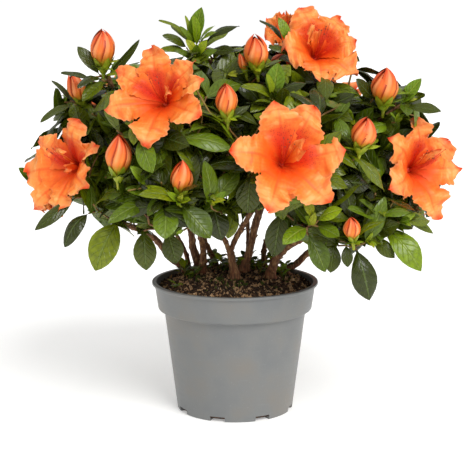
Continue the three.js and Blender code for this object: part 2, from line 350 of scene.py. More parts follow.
def add_node(
    tree: Tree,
    kind: str,
    inputs: dict | Sequence = (),
    out: int | str = 0,
    stops: Stops = (),
    **settings: object,
) -> Socket | None:
    """Adds a node with its settings and links.

    Args:
        tree: The tree it goes in.
        kind: The node's type.
        inputs: A value, or the socket that feeds it, for each input in order or by name or number.
        out: The name or number of the output to give back.
        stops: Places and hex colours for a colour ramp.
        settings: Values for its properties, on top of the usual ones of its kind.

    Returns:
        The output, or None from a node without one.
    """
    node = tree.nodes.new(kind)
    for name, value in {**USUAL.get(kind, {}), **settings}.items():
        setattr(node, name, value)
    given = inputs if isinstance(inputs, dict) else dict(enumerate(inputs))
    for key, value in given.items():
        if isinstance(value, Socket):
            tree.links.new(value, node.inputs[key])
        else:
            node.inputs[key].default_value = value
    if stops:
        elements = node.color_ramp.elements
        elements.remove(elements[1])
        elements[0].position = stops[0][0]
        elements[0].color = linear(stops[0][1])
        for position, colour in stops[1:]:
            elements.new(position).color = linear(colour)
    return node.outputs[out] if len(node.outputs) else None


def run_tree(name: str, source: Mesh, tree: Tree, values: dict) -> Mesh:
    """Runs a Geometry Nodes tree on a mesh and keeps the result as a plain mesh.

    Args:
        name: The result's name.
        source: The mesh that goes in.
        tree: The tree.
        values: A value for each of the tree's named inputs.

    Returns:
        The realized mesh.
    """
    holder = put(name + "_source", source)
    modifier = holder.modifiers.new("rule", "NODES")
    modifier.node_group = tree
    for item in tree.interface.items_tree:
        if item.item_type == "SOCKET" and item.name in values:
            modifier[item.identifier] = values[item.name]
    return evaluated(holder, name)


def evaluated(thing: Thing, name: str) -> Mesh:
    """The mesh that an object's modifiers make, once the object itself is removed."""
    depsgraph = bpy.context.evaluated_depsgraph_get()
    made = bpy.data.meshes.new_from_object(thing.evaluated_get(depsgraph))
    made.name = name
    thing.modifiers.clear()
    bpy.data.objects.remove(thing)
    return made


def start_tree(name: str, inputs: Sequence[tuple[str, str]]) -> tuple[Tree, NodeOutputs, dict]:
    """Starts a Geometry Nodes tree that deals patterns out.

    Args:
        name: The tree's name.
        inputs: The name and the type of each input after the geometry, patterns and material.

    Returns:
        The tree, the sockets of its inputs, and the pick of a pattern from its collection.
    """
    tree = bpy.data.node_groups.new(name, "GeometryNodeTree")
    start = [("Geometry", "Geometry"), ("Patterns", "Collection"), ("Material", "Material")]
    for label, kind in [*start, *inputs]:
        tree.interface.new_socket(label, in_out="INPUT", socket_type="NodeSocket" + kind)
    tree.interface.new_socket("Geometry", in_out="OUTPUT", socket_type="NodeSocketGeometry")
    given = add_node(tree, "NodeGroupInput").node.outputs
    source = {"Collection": given["Patterns"], "Separate Children": True, "Reset Children": True}
    patterns = add_node(tree, "GeometryNodeCollectionInfo", source)
    return tree, given, {"Instance": patterns, "Pick Instance": True}


def end_tree(tree: Tree, dealt: dict, material: Socket) -> None:
    """Deals out the patterns, realizes them, gives them their material and closes the tree."""
    instances = add_node(tree, "GeometryNodeInstanceOnPoints", dealt)
    realized = add_node(tree, "GeometryNodeRealizeInstances", (instances,))
    finish = {"Geometry": realized, "Material": material}
    add_node(tree, "NodeGroupOutput", (add_node(tree, "GeometryNodeSetMaterial", finish),))


def dealing_tree() -> Tree:
    """Deals patterns out at a mesh's points, turned, sized and picked by each point's attributes."""
    tree, given, dealt = start_tree("deal out by table", [])
    kinds = {"along": "FLOAT_VECTOR", "face": "FLOAT_VECTOR", "size": "FLOAT_VECTOR", "pattern": "INT"}
    read = {
        name: add_node(tree, "GeometryNodeInputNamedAttribute", {"Name": name}, data_type=kind)
        for name, kind in kinds.items()
    }
    axes = {"primary_axis": "X", "secondary_axis": "Z"}
    turn = add_node(tree, "FunctionNodeAxesToRotation", (read["along"], read["face"]), **axes)
    dealt.update({"Points": given["Geometry"], "Instance Index": read["pattern"]})
    dealt.update({"Rotation": turn, "Scale": read["size"]})
    end_tree(tree, dealt, given["Material"])
    return tree


def scattering_tree() -> Tree:
    """Scatters patterns over a surface, as thick as its room attribute says."""
    inputs = [("Density", "Float"), ("Seed", "Int"), ("Smallest", "Float"), ("Largest", "Float")]
    tree, given, dealt = start_tree("scatter over a surface", [*inputs, ("Tumble", "Vector")])
    seed = given["Seed"]
    room = add_node(tree, "GeometryNodeInputNamedAttribute", {"Name": "room"}, data_type="FLOAT")
    thick = add_node(tree, MATH, (room, given["Density"]))
    ground = {"Mesh": given["Geometry"], "Density": thick, "Seed": seed}
    spots = add_node(tree, "GeometryNodeDistributePointsOnFaces", ground)
    draw = "FunctionNodeRandomValue"
    turn = add_node(tree, draw, {1: given["Tumble"], "Seed": seed}, data_type="FLOAT_VECTOR")
    sizes = {2: given["Smallest"], 3: given["Largest"], "Seed": 5}
    size = add_node(tree, draw, sizes, 1, data_type="FLOAT")
    which = add_node(tree, draw, {4: 0, 5: 97, "Seed": 9}, 2, data_type="INT")
    dealt.update({"Points": spots, "Instance Index": which, "Rotation": turn, "Scale": size})
    end_tree(tree, dealt, given["Material"])
    return tree


def pattern_set(name: str, meshes: Sequence[Mesh]) -> Collection:
    """A collection of pattern meshes that isn't in the scene."""
    collection = bpy.data.collections.new(name)
    for i, mesh in enumerate(meshes):
        collection.objects.link(bpy.data.objects.new(f"{name}_{i:02d}", mesh))
    return collection


@dataclass
class DealTable:
    """A row for each leaf: place, long direction, the way its face looks, size and pattern."""

    rows: list[tuple] = field(default_factory=list)

    def add(self, at: Array, along: Array, face: Array, length: float, width: float, pattern: int) -> None:
        """Adds a row."""
        self.rows.append((at, along, face, (length, width, length), pattern))

    def dealt(self, name: str, tree: Tree, patterns: Collection, finish: "Finish") -> Mesh:
        """The patterns of this table as one plain mesh."""
        at, *vectors, picks = zip(*self.rows)
        points = bpy.data.meshes.new(name + "_points")
        points.vertices.add(len(at))
        points.vertices.foreach_set("co", (array(at) * METRES).ravel())
        for label, values in zip(("along", "face", "size"), vectors):
            column = points.attributes.new(label, "FLOAT_VECTOR", "POINT")
            column.data.foreach_set("vector", array(values).ravel())
        column = points.attributes.new("pattern", "INT", "POINT")
        column.data.foreach_set("value", array(picks, np.int32))
        return run_tree(name, points, tree, {"Patterns": patterns, "Material": finish.material()})


# ---- Finishes ----


@dataclass(frozen=True)
class Finish:
    """A real surface, as a procedural material that is built once."""

    name: str

    def material(self) -> Material:
        """The material, built at the first call."""
        found = bpy.data.materials.get(self.name)
        if found:
            return found
        made = bpy.data.materials.new(self.name)
        made.use_nodes = True
        made.node_tree.nodes.clear()
        node = partial(add_node, made.node_tree)
        node("ShaderNodeOutputMaterial", (node("ShaderNodeBsdfPrincipled", self.inputs(node)),))
        return made

    def inputs(self, node: Add) -> dict:
        """What the shader's inputs get, by their names."""
        raise NotImplementedError


def laid_over(node: Add, colour: Socket, *layers: tuple[Socket, str]) -> Socket:
    """A colour with hex colours laid over it in turn, each by its own amount."""
    for amount, over in layers:
        colour = node(MIX, {0: amount, 6: colour, 7: linear(over)}, 2)
    return colour


@dataclass(frozen=True)
class MouldedPolypropylene(Finish):
    """Satin grey injection-moulded pot: even, with faint cloudy marks and fine scuffs."""

    colour: str = "#737473"
    warm: str = "#78746E"
    dark: str = "#6D6F70"

    def inputs(self, node: Add) -> dict:
        """Clouds of 25 mm, specks of 1.5 mm and scuffs that run round the pot."""
        spot = node(COORDS, out="Object")
        clouds = node(NOISE, {"Vector": spot, "Scale": 38.0, "Detail": 3.0})
        specks = node(NOISE, {"Vector": spot, "Scale": 650.0, "Detail": 2.0})
        ring = node(MAPPING, {"Vector": spot, "Scale": (70.0, 70.0, 900.0)})
        scuffs = node(NOISE, {"Vector": ring, "Scale": 1.0})
        stops = [(0.3, self.dark), (0.5, self.colour), (0.72, self.warm)]
        tone = node(RAMP, (clouds,), stops=stops)
        pale = node(FADE, (specks, 0.66, 0.74, 0.0, 0.25))
        worn = node(FADE, (scuffs, 0.62, 0.75, 0.0, 0.18))
        rough = node(FADE, (scuffs, 0.0, 1.0, 0.36, 0.52), interpolation_type="LINEAR")
        return {
            "Base Color": laid_over(node, tone, (pale, "#8B8D8D"), (worn, "#808485")),
            "Roughness": rough,
            "Normal": node(BUMP, {"Strength": 0.12, "Distance": 0.0004, "Height": specks}),
            "IOR": 1.49,
        }


@dataclass(frozen=True)
class Earthy(Finish):
    """Peat, bark chips, grit, moss or young growth: mottled, dull and rough."""

    shades: tuple[str, str, str]
    grain: float  # mm
    rough: float = 0.95

    def inputs(self, node: Add) -> dict:
        """Mottling at the grain's size and a bump of the same noise."""
        spot = node(COORDS, out="Object")
        fine = {"Vector": spot, "Scale": 1000 / self.grain, "Detail": 5.0, "Roughness": 0.65}
        grain = node(NOISE, fine)
        return {
            "Base Color": node(RAMP, (grain,), stops=list(zip((0.32, 0.5, 0.72), self.shades))),
            "Roughness": self.rough,
            "Normal": node(BUMP, {"Strength": 0.8, "Distance": 0.0008, "Height": grain}),
        }


@dataclass(frozen=True)
class AzaleaBark(Finish):
    """Thin brown bark: redder and flaking round the collar."""

    collar: str = "#8E4A2A"
    collar_top: float = 0.112  # m, where the red of the collar has gone
    collar_foot: float = 0.088  # m, where it is full
    shades: tuple[str, str, str] = ("#341C0E", "#74492A", "#B8905E")

    def inputs(self, node: Add) -> dict:
        """Streaks stretched up the stem, flakes of 3 mm, and the red collar at the foot."""
        spot = node(COORDS, out="Object")
        tall = node(MAPPING, {"Vector": spot, "Scale": (900.0, 900.0, 160.0)})
        streaks = node(NOISE, {"Vector": tall, "Scale": 1.0, "Detail": 4.0, "Roughness": 0.6})
        flakes = node(NOISE, {"Vector": spot, "Scale": 330.0, "Detail": 3.0})
        tone = node(RAMP, (streaks,), stops=list(zip((0.3, 0.5, 0.74), self.shades)))
        height = node(SPLIT, (spot,), 2)
        low = node(FADE, (height, self.collar_top, self.collar_foot, 0.0, 0.7))
        red = node(MATH, (low, node(FADE, (flakes, 0.42, 0.6))))
        return {
            "Base Color": laid_over(node, tone, (red, self.collar)),
            "Roughness": 0.78,
            "Normal": node(BUMP, {"Strength": 0.7, "Distance": 0.0006, "Height": streaks}),
        }


@dataclass(frozen=True)
class Waxy(Finish):
    """Leathery evergreen leaf: waxy gloss, a sunken pale rib and curved side veins."""

    tints: tuple[str, ...]
    rib: str
    rough: float
    columns: int = 4
    rows: int = 2

    def inputs(self, node: Add) -> dict:
        """Reads only the leaf's own map, with a tint for each cell of it."""
        own = node(OWN_MAP)
        column = node(MATH, (node(SPLIT, (own,), 0), self.columns))
        row = node(MATH, (node(SPLIT, (own,), 1), self.rows))
        inward = node(MATH, (column, 0.5), operation="PINGPONG")
        aside = node(MATH, (inward, -2.0, 1.0), **TIMES_PLUS)
        along = node(MATH, (row,), operation="FRACT")

        left = node(MATH, (column,), operation="FLOOR")
        low = node(MATH, (row,), operation="FLOOR")
        cell = node(MATH, (low, self.columns, left), **TIMES_PLUS)
        share = 1 / len(self.tints)
        cell = node(MATH, (cell, share, share / 2), **TIMES_PLUS)
        stops = [(i * share, tint) for i, tint in enumerate(self.tints)]
        tint = node(RAMP, (cell,), stops=stops)
        tint.node.color_ramp.interpolation = "CONSTANT"

        mottle = node(NOISE, {"Vector": own, "Scale": 26.0, "Detail": 3.0})
        run = node(MATH, (along, 7.0))
        run = node(MATH, (aside, -2.2, run), **TIMES_PLUS)
        run = node(MATH, (run, 0.5), operation="PINGPONG")
        inner = node(FADE, (aside, 0.95, 0.55))
        vein = node(MATH, (inner, node(FADE, (run, 0.14, 0.0))))
        rib = node(FADE, (aside, 0.11, 0.03))
        patchy = node(FADE, (mottle, 0.35, 0.7, 0.0, 0.4))
        shaded = {0: patchy, 6: tint, 7: linear("#6E7A50")}
        colour = node(MIX, shaded, 2, blend_type="MULTIPLY")
        veined = (node(MATH, (vein, 0.16)), self.rib)
        ribbed = (node(MATH, (rib, 0.4)), self.rib)

        raised = node(MATH, (mottle, 0.6))
        raised = node(MATH, (vein, -0.7, raised), **TIMES_PLUS)
        raised = node(MATH, (raised, rib), operation="SUBTRACT")
        ends = (0.0, 1.0, self.rough - 0.08, self.rough + 0.12)
        return {
            "Base Color": laid_over(node, colour, veined, ribbed),
            "Roughness": node(FADE, (mottle, *ends), interpolation_type="LINEAR"),
            "Normal": node(BUMP, {"Strength": 0.75, "Distance": 0.0007, "Height": raised}),
            "IOR": 1.45,
            "Specular IOR Level": 0.45,
        }


class PetalKind(Enum):
    """The columns of the petals' map."""

    OUTER = 0
    BLOTCHED = 1
    INNER = 2
    PALE = 3


OUTER, BLOTCHED, INNER, PALE = PetalKind


@dataclass(frozen=True)
class PetalSilk(Finish):
    """Thin ruffled petal: salmon-orange, paler along its margins, with a red tip and throat."""

    body: Stops = (
        (0.02, "#A81A02"), (0.16, "#DC3A06"), (0.34, "#EA5C0E"), (0.52, "#EF7A28"), (0.74, "#F39446"),
        (0.92, "#F29654"), (1.0, "#EA7034"),
    )

    def inputs(self, node: Add) -> dict:
        """Reads only the petal's own map, with a column for each kind of petal."""
        own = node(OWN_MAP)
        v = node(SPLIT, (own,), 1)
        column = node(MATH, (node(SPLIT, (own,), 0), len(PetalKind)))
        kind = node(MATH, (column,), operation="FLOOR")
        inward = node(MATH, (column, 0.5), operation="PINGPONG")
        aside = node(MATH, (inward, -2.0, 1.0), **TIMES_PLUS)
        mottle = node(NOISE, {"Vector": own, "Scale": 14.0, "Detail": 4.0})
        # One noise drives both the painted fold shade and the painted ridge highlight.
        fold_light_noise = node(NOISE, {"Vector": own, "Scale": 9.0, "Detail": 2.0})
        lower = node(MATH, (v, -0.11), operation="ADD")
        along = node(MATH, (mottle, 0.22, lower), **TIMES_PLUS)

        signed = node(MATH, (node(MATH, (column,), operation="FRACT"), 74.0))
        lines = node(MATH, (signed, -37.0), operation="ADD")
        lines = node(MATH, (lines,), operation="SINE")
        lines = node(MATH, (lines, 0.5, 0.5), **TIMES_PLUS)
        lines = node(MATH, (lines, node(FADE, (v, 0.95, 0.3, 0.0, 0.3))))
        # Painted shade in the petal's folds, and a painted highlight on its ridges in its outer part.
        deep = node(FADE, (fold_light_noise, 0.5, 0.68, 0.0, 0.7))
        painted_ridge_highlight = node(FADE, (fold_light_noise, 0.46, 0.32, 0.0, 0.6))
        painted_ridge_highlight = node(MATH, (painted_ridge_highlight, node(FADE, (v, 0.3, 0.7))))
        middle = node(FADE, (aside, 0.12, 0.0, 0.0, 0.75))
        middle = node(MATH, (middle, node(FADE, (v, 1.0, 0.5))))
        margin = node(FADE, (aside, 0.78, 1.0, 0.0, 0.6))
        margin = node(MATH, (margin, node(FADE, (v, 0.4, 0.75))))
        tip = node(FADE, (v, 0.84, 0.98, 0.0, 0.85))
        tip = node(MATH, (tip, node(FADE, (aside, 1.3, 0.3))))
        inner, flare = (
            node(MATH, (kind, float(which.value), 0.1), operation="COMPARE") for which in (INNER, BLOTCHED)
        )
        inner = node(MATH, (inner, 0.35))
        flare = node(MATH, (flare, node(FADE, (along, 0.72, 0.36))))
        flare = node(MATH, (flare, node(FADE, (aside, 0.9, 0.15))))
        grid = node(MAPPING, {"Vector": own, "Scale": (90.0, 26.0, 1.0)})
        cells = node(CELLS, {"Vector": grid, "Scale": 1.0}, "Distance")
        speck = node(MATH, (flare, node(FADE, (cells, 0.34, 0.2, 0.0, 0.75))))
        colour = laid_over(
            node,
            node(RAMP, (along,), stops=self.body),
            (lines, "#E05614"),
            # painted fold shade, then the painted ridge highlight
            (deep, "#E25A1C"),
            (painted_ridge_highlight, "#F8B066"),
            (middle, "#E8571A"),
            (margin, "#F4A070"),
            (tip, "#DC3C14"),
            (inner, "#E8601C"),
            (node(MATH, (flare, 0.85)), "#CE2202"),
            (speck, "#9C1404"),
        )
        bump = node(BUMP, {"Strength": 0.35, "Distance": 0.0005, "Height": mottle})
        return {"Base Color": colour, "Roughness": 0.5, "Normal": bump, "Specular IOR Level": 0.3}


@dataclass(frozen=True)
class BudSilk(Finish):
    """Furled petal: deep orange with painted shade at its seams, turning yellow-green at its foot."""

    body: Stops = (
        (0.0, "#76880F"), (0.17, "#A09C1A"), (0.32, "#DC8426"), (0.48, "#F08232"), (0.78, "#E66226"),
        (1.0, "#C83A12"),
    )

    def inputs(self, node: Add) -> dict:
        """Reads only the petal's own map."""
        own = node(OWN_MAP)
        u = node(SPLIT, (own,), 0)
        v = node(SPLIT, (own,), 1)
        lines = node(MATH, (node(MATH, (u, 31.0)),), operation="SINE")
        lines = node(MATH, (lines, 0.5, 0.5), **TIMES_PLUS)
        streaks = node(MATH, (lines, 0.28))
        inward = node(MATH, (u, 0.5), operation="PINGPONG")
        # Painted shade along the seams where the furled petals overlap, above the foot.
        painted_seam_shade = node(FADE, (inward, 0.16, 0.03, 0.0, 0.95))
        painted_seam_shade = node(MATH, (painted_seam_shade, node(FADE, (v, 0.1, 0.35))))
        # Painted highlight down the middle of each furled petal.
        light = node(FADE, (inward, 0.3, 0.5))
        light = node(MATH, (light, node(FADE, (v, 0.25, 0.5, 0.0, 0.45))))
        body = node(RAMP, (v,), stops=self.body)
        # fine streaks, then the painted seam shade and the painted highlight
        layers = ((streaks, "#E8481C"), (painted_seam_shade, "#A02406"), (light, "#FAB478"))
        return {
            "Base Color": laid_over(node, body, *layers),
            "Roughness": 0.46,
            "Normal": node(BUMP, {"Strength": 0.3, "Distance": 0.0005, "Height": lines}),
            "Specular IOR Level": 0.35,
        }


@dataclass(frozen=True)
class Paper(Finish):
    """Matt white studio paper on a light table."""

    glow: float = 0.3  # lit from below, so that shadows on it stay faint

    def inputs(self, node: Add) -> dict:
        """Plain white with the faintest mottling."""
        spot = node(COORDS, out="Object")
        clouds = node(NOISE, {"Vector": spot, "Scale": 2.0})
        colour = node(RAMP, (clouds,), stops=[(0.0, "#F6F6F4"), (1.0, "#F3F3F1")])
        lit = {"Emission Color": (1, 1, 1, 1), "Emission Strength": self.glow}
        return {"Base Color": colour, "Roughness": 0.9, **lit}


class Green(Enum):
    """The leaves' kinds by age, with each one's finish."""

    MATURE = Waxy(
        "mature azalea leaf",
        ("#3C4405", "#4E5807", "#5C6809", "#323A04", "#68740B", "#454E06", "#76820C", "#383F04"),
        rib="#6C7F3F",
        rough=0.24,
    )
    FRESH = Waxy(
        "fresh azalea leaf",
        ("#576B0C", "#61780E", "#4D600B", "#6C840F", "#5B700D", "#52660C", "#778E12", "#657C0F"),
        rib="#8FA04C",
        rough=0.28,
    )
    YOUNG = Waxy(
        "young azalea leaf",
        ("#7E980C", "#8CA40E", "#6C8A0C", "#9CAE12", "#76920C", "#94A410", "#A6AC18", "#708C0C"),
        rib="#B4C052",
        rough=0.34,
    )


MATURE, FRESH, YOUNG = Green
POT_FINISH = MouldedPolypropylene("moulded grey polypropylene")
PEAT = Earthy("damp peat", ("#120A05", "#362314", "#7A5838"), 1.6)
CHIPS = Earthy("composted bark", ("#553A26", "#B38A60", "#E8C8A0"), 1.2, 0.9)
GRIT = Earthy("pale grit and fibre", ("#8C7355", "#B89C7A", "#D9C7A8"), 1.0, 0.85)
MOSS = Earthy("cushion moss", ("#2C3A10", "#4E6118", "#7C8A2A"), 1.5, 0.9)
BARK = AzaleaBark("azalea bark")
YOUNG_WOOD = Earthy("young azalea wood", ("#5A3A1E", "#85602E", "#8E8A36"), 6.0, 0.6)
SEPAL = Earthy("azalea sepal", ("#6F8A14", "#93A01C", "#B9B02C"), 4.0, 0.5)
FILAMENT = Earthy("azalea filament", ("#B41E06", "#C8300C", "#D84E1E"), 6.0, 0.5)
ANTHER = Earthy("azalea anther", ("#6A2210", "#8C361A", "#B05A2A"), 0.8, 0.7)


# ---- Pot ----


@dataclass
class Pot:
    """Thin-walled moulded pot with a step, a band, a rolled lip and slots round its foot."""

    height: float = 94
    base_radius: float = 42
    body_top_radius: float = 51.2
    body_top: float = 73
    band_bottom: float = 74.4
    band_bottom_radius: float = 55.5
    band_top: float = 91.6
    band_top_radius: float = 58
    lip_radius: float = 60
    lip_round: float = 0.7
    wall: float = 1.3
    floor: float = 1.8
    sides: int = 192
    slots: int = 8
    first_slot: float = 27.7  # degrees from the front
    slot_width: float = 11
    slot_height: float = 3.7
    slot_reach: float = 9
    slot_past: float = 3  # how far the cutting blocks stand out of the pot
    sharp_from: float = 42  # degrees between faces

    def profile(self) -> list[Point]:
        """The section's corners as radius, height and rounding, from the axis out and up and back."""
        lip_under = self.height - 2 * self.lip_round - 0.4
        neck = self.body_top - 1
        shoulder = self.band_bottom + self.wall
        slope = (self.body_top_radius - self.base_radius) / self.body_top
        band_slope = (self.band_top_radius - self.band_bottom_radius) / (self.band_top - self.band_bottom)
        inner_band = self.band_bottom_radius + band_slope * self.wall - self.wall
        return [
            (0, 0, 0),
            (self.base_radius, 0, 1.1),
            (self.body_top_radius, self.body_top, 0.9),
            (self.band_bottom_radius, self.band_bottom, 0.9),
            (self.band_top_radius, self.band_top, 1.0),
            (self.lip_radius, lip_under, 0.45),
            (self.lip_radius, self.height, self.lip_round),
            (self.band_top_radius - self.wall, self.height, 0.6),
            (self.band_top_radius - self.wall, self.band_top, 0.5),
            (inner_band, shoulder, 0.5),
            (self.base_radius + slope * neck - self.wall, neck, 0.5),
            (self.base_radius + slope * self.floor - self.wall, self.floor, 1.0),
            (0, self.floor, 0),
        ]

    def rounded(self) -> Array:
        """The section with its corners rounded."""
        corners = self.profile()
        out = [array(corners[0][:2])]
        for before, here, after in zip(corners, corners[1:], corners[2:]):
            point = array(here[:2], float)
            back = unit(array(before[:2]) - point)
            on = unit(array(after[:2]) - point)
            start, stop = point + back * here[2], point + on * here[2]
            for t in linspace(0, 1, 6):
                out.append((1 - t) ** 2 * start + 2 * t * (1 - t) * point + t * t * stop)
        out.append(array(corners[-1][:2]))
        return array(out)

    def build(self) -> None:
        """Turns the section, cuts the slots and dresses the pot."""
        section = self.rounded()
        bin_ = MeshBin()
        ends = [(0, 0, section[0][1]), (0, 0, section[-1][1])]
        add_rings(bin_, turned(section[1:-1], self.sides), self.sides, ends)
        pot = put("pot_whole", bin_.mesh("pot_whole"))
        cutter = put("slot_cutter", self.slot_blocks())
        cut = pot.modifiers.new("slots", "BOOLEAN")
        cut.object, cut.operation, cut.solver = cutter, "DIFFERENCE", "EXACT"
        mesh = evaluated(pot, "pot_shell")
        bpy.data.objects.remove(cutter)
        mesh.shade_smooth()
        mesh.set_sharp_from_angle(angle=radians(self.sharp_from))
        settle("pot_shell", mesh, POT_FINISH, ["pot"])

    def slot_blocks(self) -> Mesh:
        """The blocks that cut the slots round the foot."""
        bin_ = MeshBin()
        half = self.slot_width / 2
        near, far = self.slot_reach - self.base_radius, -self.base_radius - self.slot_past
        flat = ((-half, far), (half, far), (half, near), (-half, near))
        corners = array([(x, y, z) for z in (-self.slot_past, self.slot_height) for x, y in flat], float)
        faces = array([(3, 2, 1, 0), (4, 5, 6, 7), (0, 1, 5, 4), (1, 2, 6, 5), (2, 3, 7, 6), (3, 0, 4, 7)])
        for i in range(self.slots):
            turn = radians(self.first_slot + i * 360 / self.slots)
            c, s = cos(turn), sin(turn)
            bin_.add(corners @ array([[c, s, 0], [-s, c, 0], [0, 0, 1]]), faces)
        return bin_.mesh("slot_blocks")


# ---- Stems and boughs ----


@dataclass(frozen=True)
class Limb:
    """A stem or bough: where it starts, what it passes, the mass it enters and its radii."""

    name: str
    start: tuple[float, ...]
    through: tuple[Point, ...]
    into: str | None
    radii: tuple[float, float]

    @property
    def rooted(self) -> bool:
        """True for a stem, which starts at a place on the soil."""
        return len(self.start) == 2


STEMS, BOUGHS = (
    tuple(Limb(prefix + name, *row) for name, *row in rows)
    for prefix, rows in {
        "stem_": (
            ("left_outer", (-37, 28), ((-47, 27, 104), (-59, 24, 120)), "lower_left", (2.3, 1.7)),
            ("left_back_thin", (-34.5, 37), ((-37.5, 41, 107), (-50, 52, 128)), "back_left", (1.5, 1.1)),
            ("left_thick", (-27, 28), ((-31, 28, 112), (-34, 22, 131)), "upper_left", (2.6, 1.9)),
            ("left_inner", (-23.5, 12), ((-23, 10, 110), (-24.5, 4, 124)), "front_left", (2.2, 1.5)),
            ("middle_back", (-15, 32), ((-19, 38, 108), (-23, 42, 118)), "back_top", (1.9, 1.3)),
            ("centre", (0, -12), ((-1.2, -12, 106), (-3.8, -12, 119)), None, (2.5, 2.3)),
            ("tall", (7, 10), ((9.5, 8, 110), (12, 5, 121), (16, 1, 139)), "upper_right", (2.8, 2)),
            ("back_thin", (9.5, 38), ((9.6, 40, 112), (9.6, 43, 128)), "back", (1.4, 1.1)),
            (
                "right_inner", (26, -4), ((27, -6, 104), (30, -8, 112), (38.5, -9, 121)),
                "lower_right", (2.9, 2.1),
            ),
            ("right_outer", (38, 25), ((46, 25, 101), (54.5, 23, 110)), "right", (2.3, 1.7)),
            ("right_back", (22, 36), ((22, 40, 110), (30, 48, 126)), "back_right", (1.7, 1.2)),
        ),
        "bough_": (
            ("centre_left", (-3.8, -12, 117), ((-8, -15, 127),), "lower_front", (1.7, 1.3)),
            ("centre_right", (-3.8, -12, 117), ((2.4, -12, 130),), "front_right", (1.8, 1.4)),
            ("right_inner", (28.5, -7, 108), ((37, 2, 118),), "right_shoulder", (1.6, 1.2)),
        ),
    }.items()
)


@dataclass(frozen=True)
class Mass:
    """A mass of foliage: its middle, half sizes and the tips that stand out of it."""

    centre: Array
    half: Array
    tips: tuple[Point, ...]
    ripple: float = 0.045
    waves: tuple[int, int, int] = (5, 6, 4)
    phase: float = 0.37
    tip_width: float = 0.1

    def reach(self, directions: Array, tip_share: float = 1.0) -> Array:
        """How far the mass goes in each direction, as a share of its half sizes.

        Args:
            directions: Unit directions, one row each.
            tip_share: How much of its drawn-out tips to count.
        """
        centre, half = self.centre, self.half
        waves = np.sin(array(self.waves) * directions + self.phase * centre)
        out = 1 + self.ripple * waves.sum(axis=-1)
        drawn = np.zeros_like(out)
        for tip in self.tips:
            scaled = (array(tip) - centre) / half
            reach = norm(scaled)
            near = np.exp((directions @ (scaled / reach) - 1) / self.tip_width)
            drawn = np.maximum(drawn, (reach - out) * near)
        return out + drawn * tip_share

    def outside(self, points: Array, tip_share: float) -> Array:
        """Roughly how far each point lies outside the mass, less than 0 inside it."""
        scaled = (points - self.centre) / self.half
        length = np.maximum(norm(scaled, axis=-1), 1e-6)
        share = length - self.reach(scaled / length[..., None], tip_share)
        return share * float(np.mean(self.half))


MASSES = {
    "foliage_" + name: Mass(xyz(centre), xyz(half), tuple(tips))
    for name, (centre, half, *tips) in {
        "top": ((-22, 4, 238), (44, 46, 42), (-23, 2, 290), (-51, 6, 280), (2, 4, 274)),
        "upper_right": (
            (52, -2, 240), (46, 46, 42), (53, -22, 291), (83, -22, 266), (24, 2, 283), (90, 6, 254),
        ),
        "upper_left": (
            (-86, 2, 218), (43, 46, 40), (-91, -14, 275), (-112, -2, 262), (-136, -2, 208), (-118, -8, 240),
        ),
        "right_shoulder": ((100, 4, 206), (42, 46, 36), (106, -22, 249), (131, -12, 240), (144, 6, 214)),
        "front_left": (
            (-50, -54, 214), (42, 40, 38), (-55, -88, 258), (-18, -88, 250), (-54, -100, 206),
            (-6, -84, 236),
        ),
        "front_right": (
            (38, -58, 194), (48, 38, 42), (26, -92, 232), (78, -88, 200), (20, -96, 160), (66, -92, 166),
            (-2, -96, 196),
        ),
        "left": (
            (-112, -16, 174), (38, 46, 36), (-154, -22, 177), (-130, -42, 218), (-144, -22, 142),
            (-110, -64, 186),
        ),
        "right": (
            (122, -14, 170), (38, 46, 36), (165, -26, 178), (128, -36, 214), (142, -40, 146),
            (112, -62, 176),
        ),
        "lower_left": (
            (-84, -38, 144), (46, 44, 30), (-102, -42, 113), (-64, -48, 112), (-124, -30, 126),
            (-138, -26, 140),
        ),
        "lower_front": (
            (-34, -68, 164), (46, 36, 32), (-46, -78, 127), (-24, -90, 134), (-37, -98, 190),
            (-80, -88, 190),
        ),
        "lower_right": (
            (82, -40, 146), (50, 42, 30), (93, -62, 94), (62, -66, 114), (128, -44, 113), (76, -84, 154),
            (46, -64, 136),
        ),
        "back_top": ((12, 56, 232), (52, 46, 40), (-20, 78, 272), (40, 84, 268), (4, 104, 244)),
        "back_left": (
            (-78, 70, 178), (52, 48, 46), (-118, 88, 216), (-132, 66, 158), (-86, 122, 190),
            (-74, 100, 122),
        ),
        "back_right": (
            (86, 70, 178), (52, 48, 46), (122, 84, 218), (142, 64, 160), (82, 124, 196), (92, 98, 118),
        ),
        "back": (
            (4, 98, 176), (48, 44, 48), (-22, 142, 206), (34, 146, 186), (2, 136, 134), (30, 126, 120),
        ),
    }.items()
}


def outside_crown(points: Array, tip_share: float = 1.0) -> Array:
    """Roughly how far each point lies outside the whole crown."""
    return np.min([mass.outside(points, tip_share) for mass in MASSES.values()], axis=0)


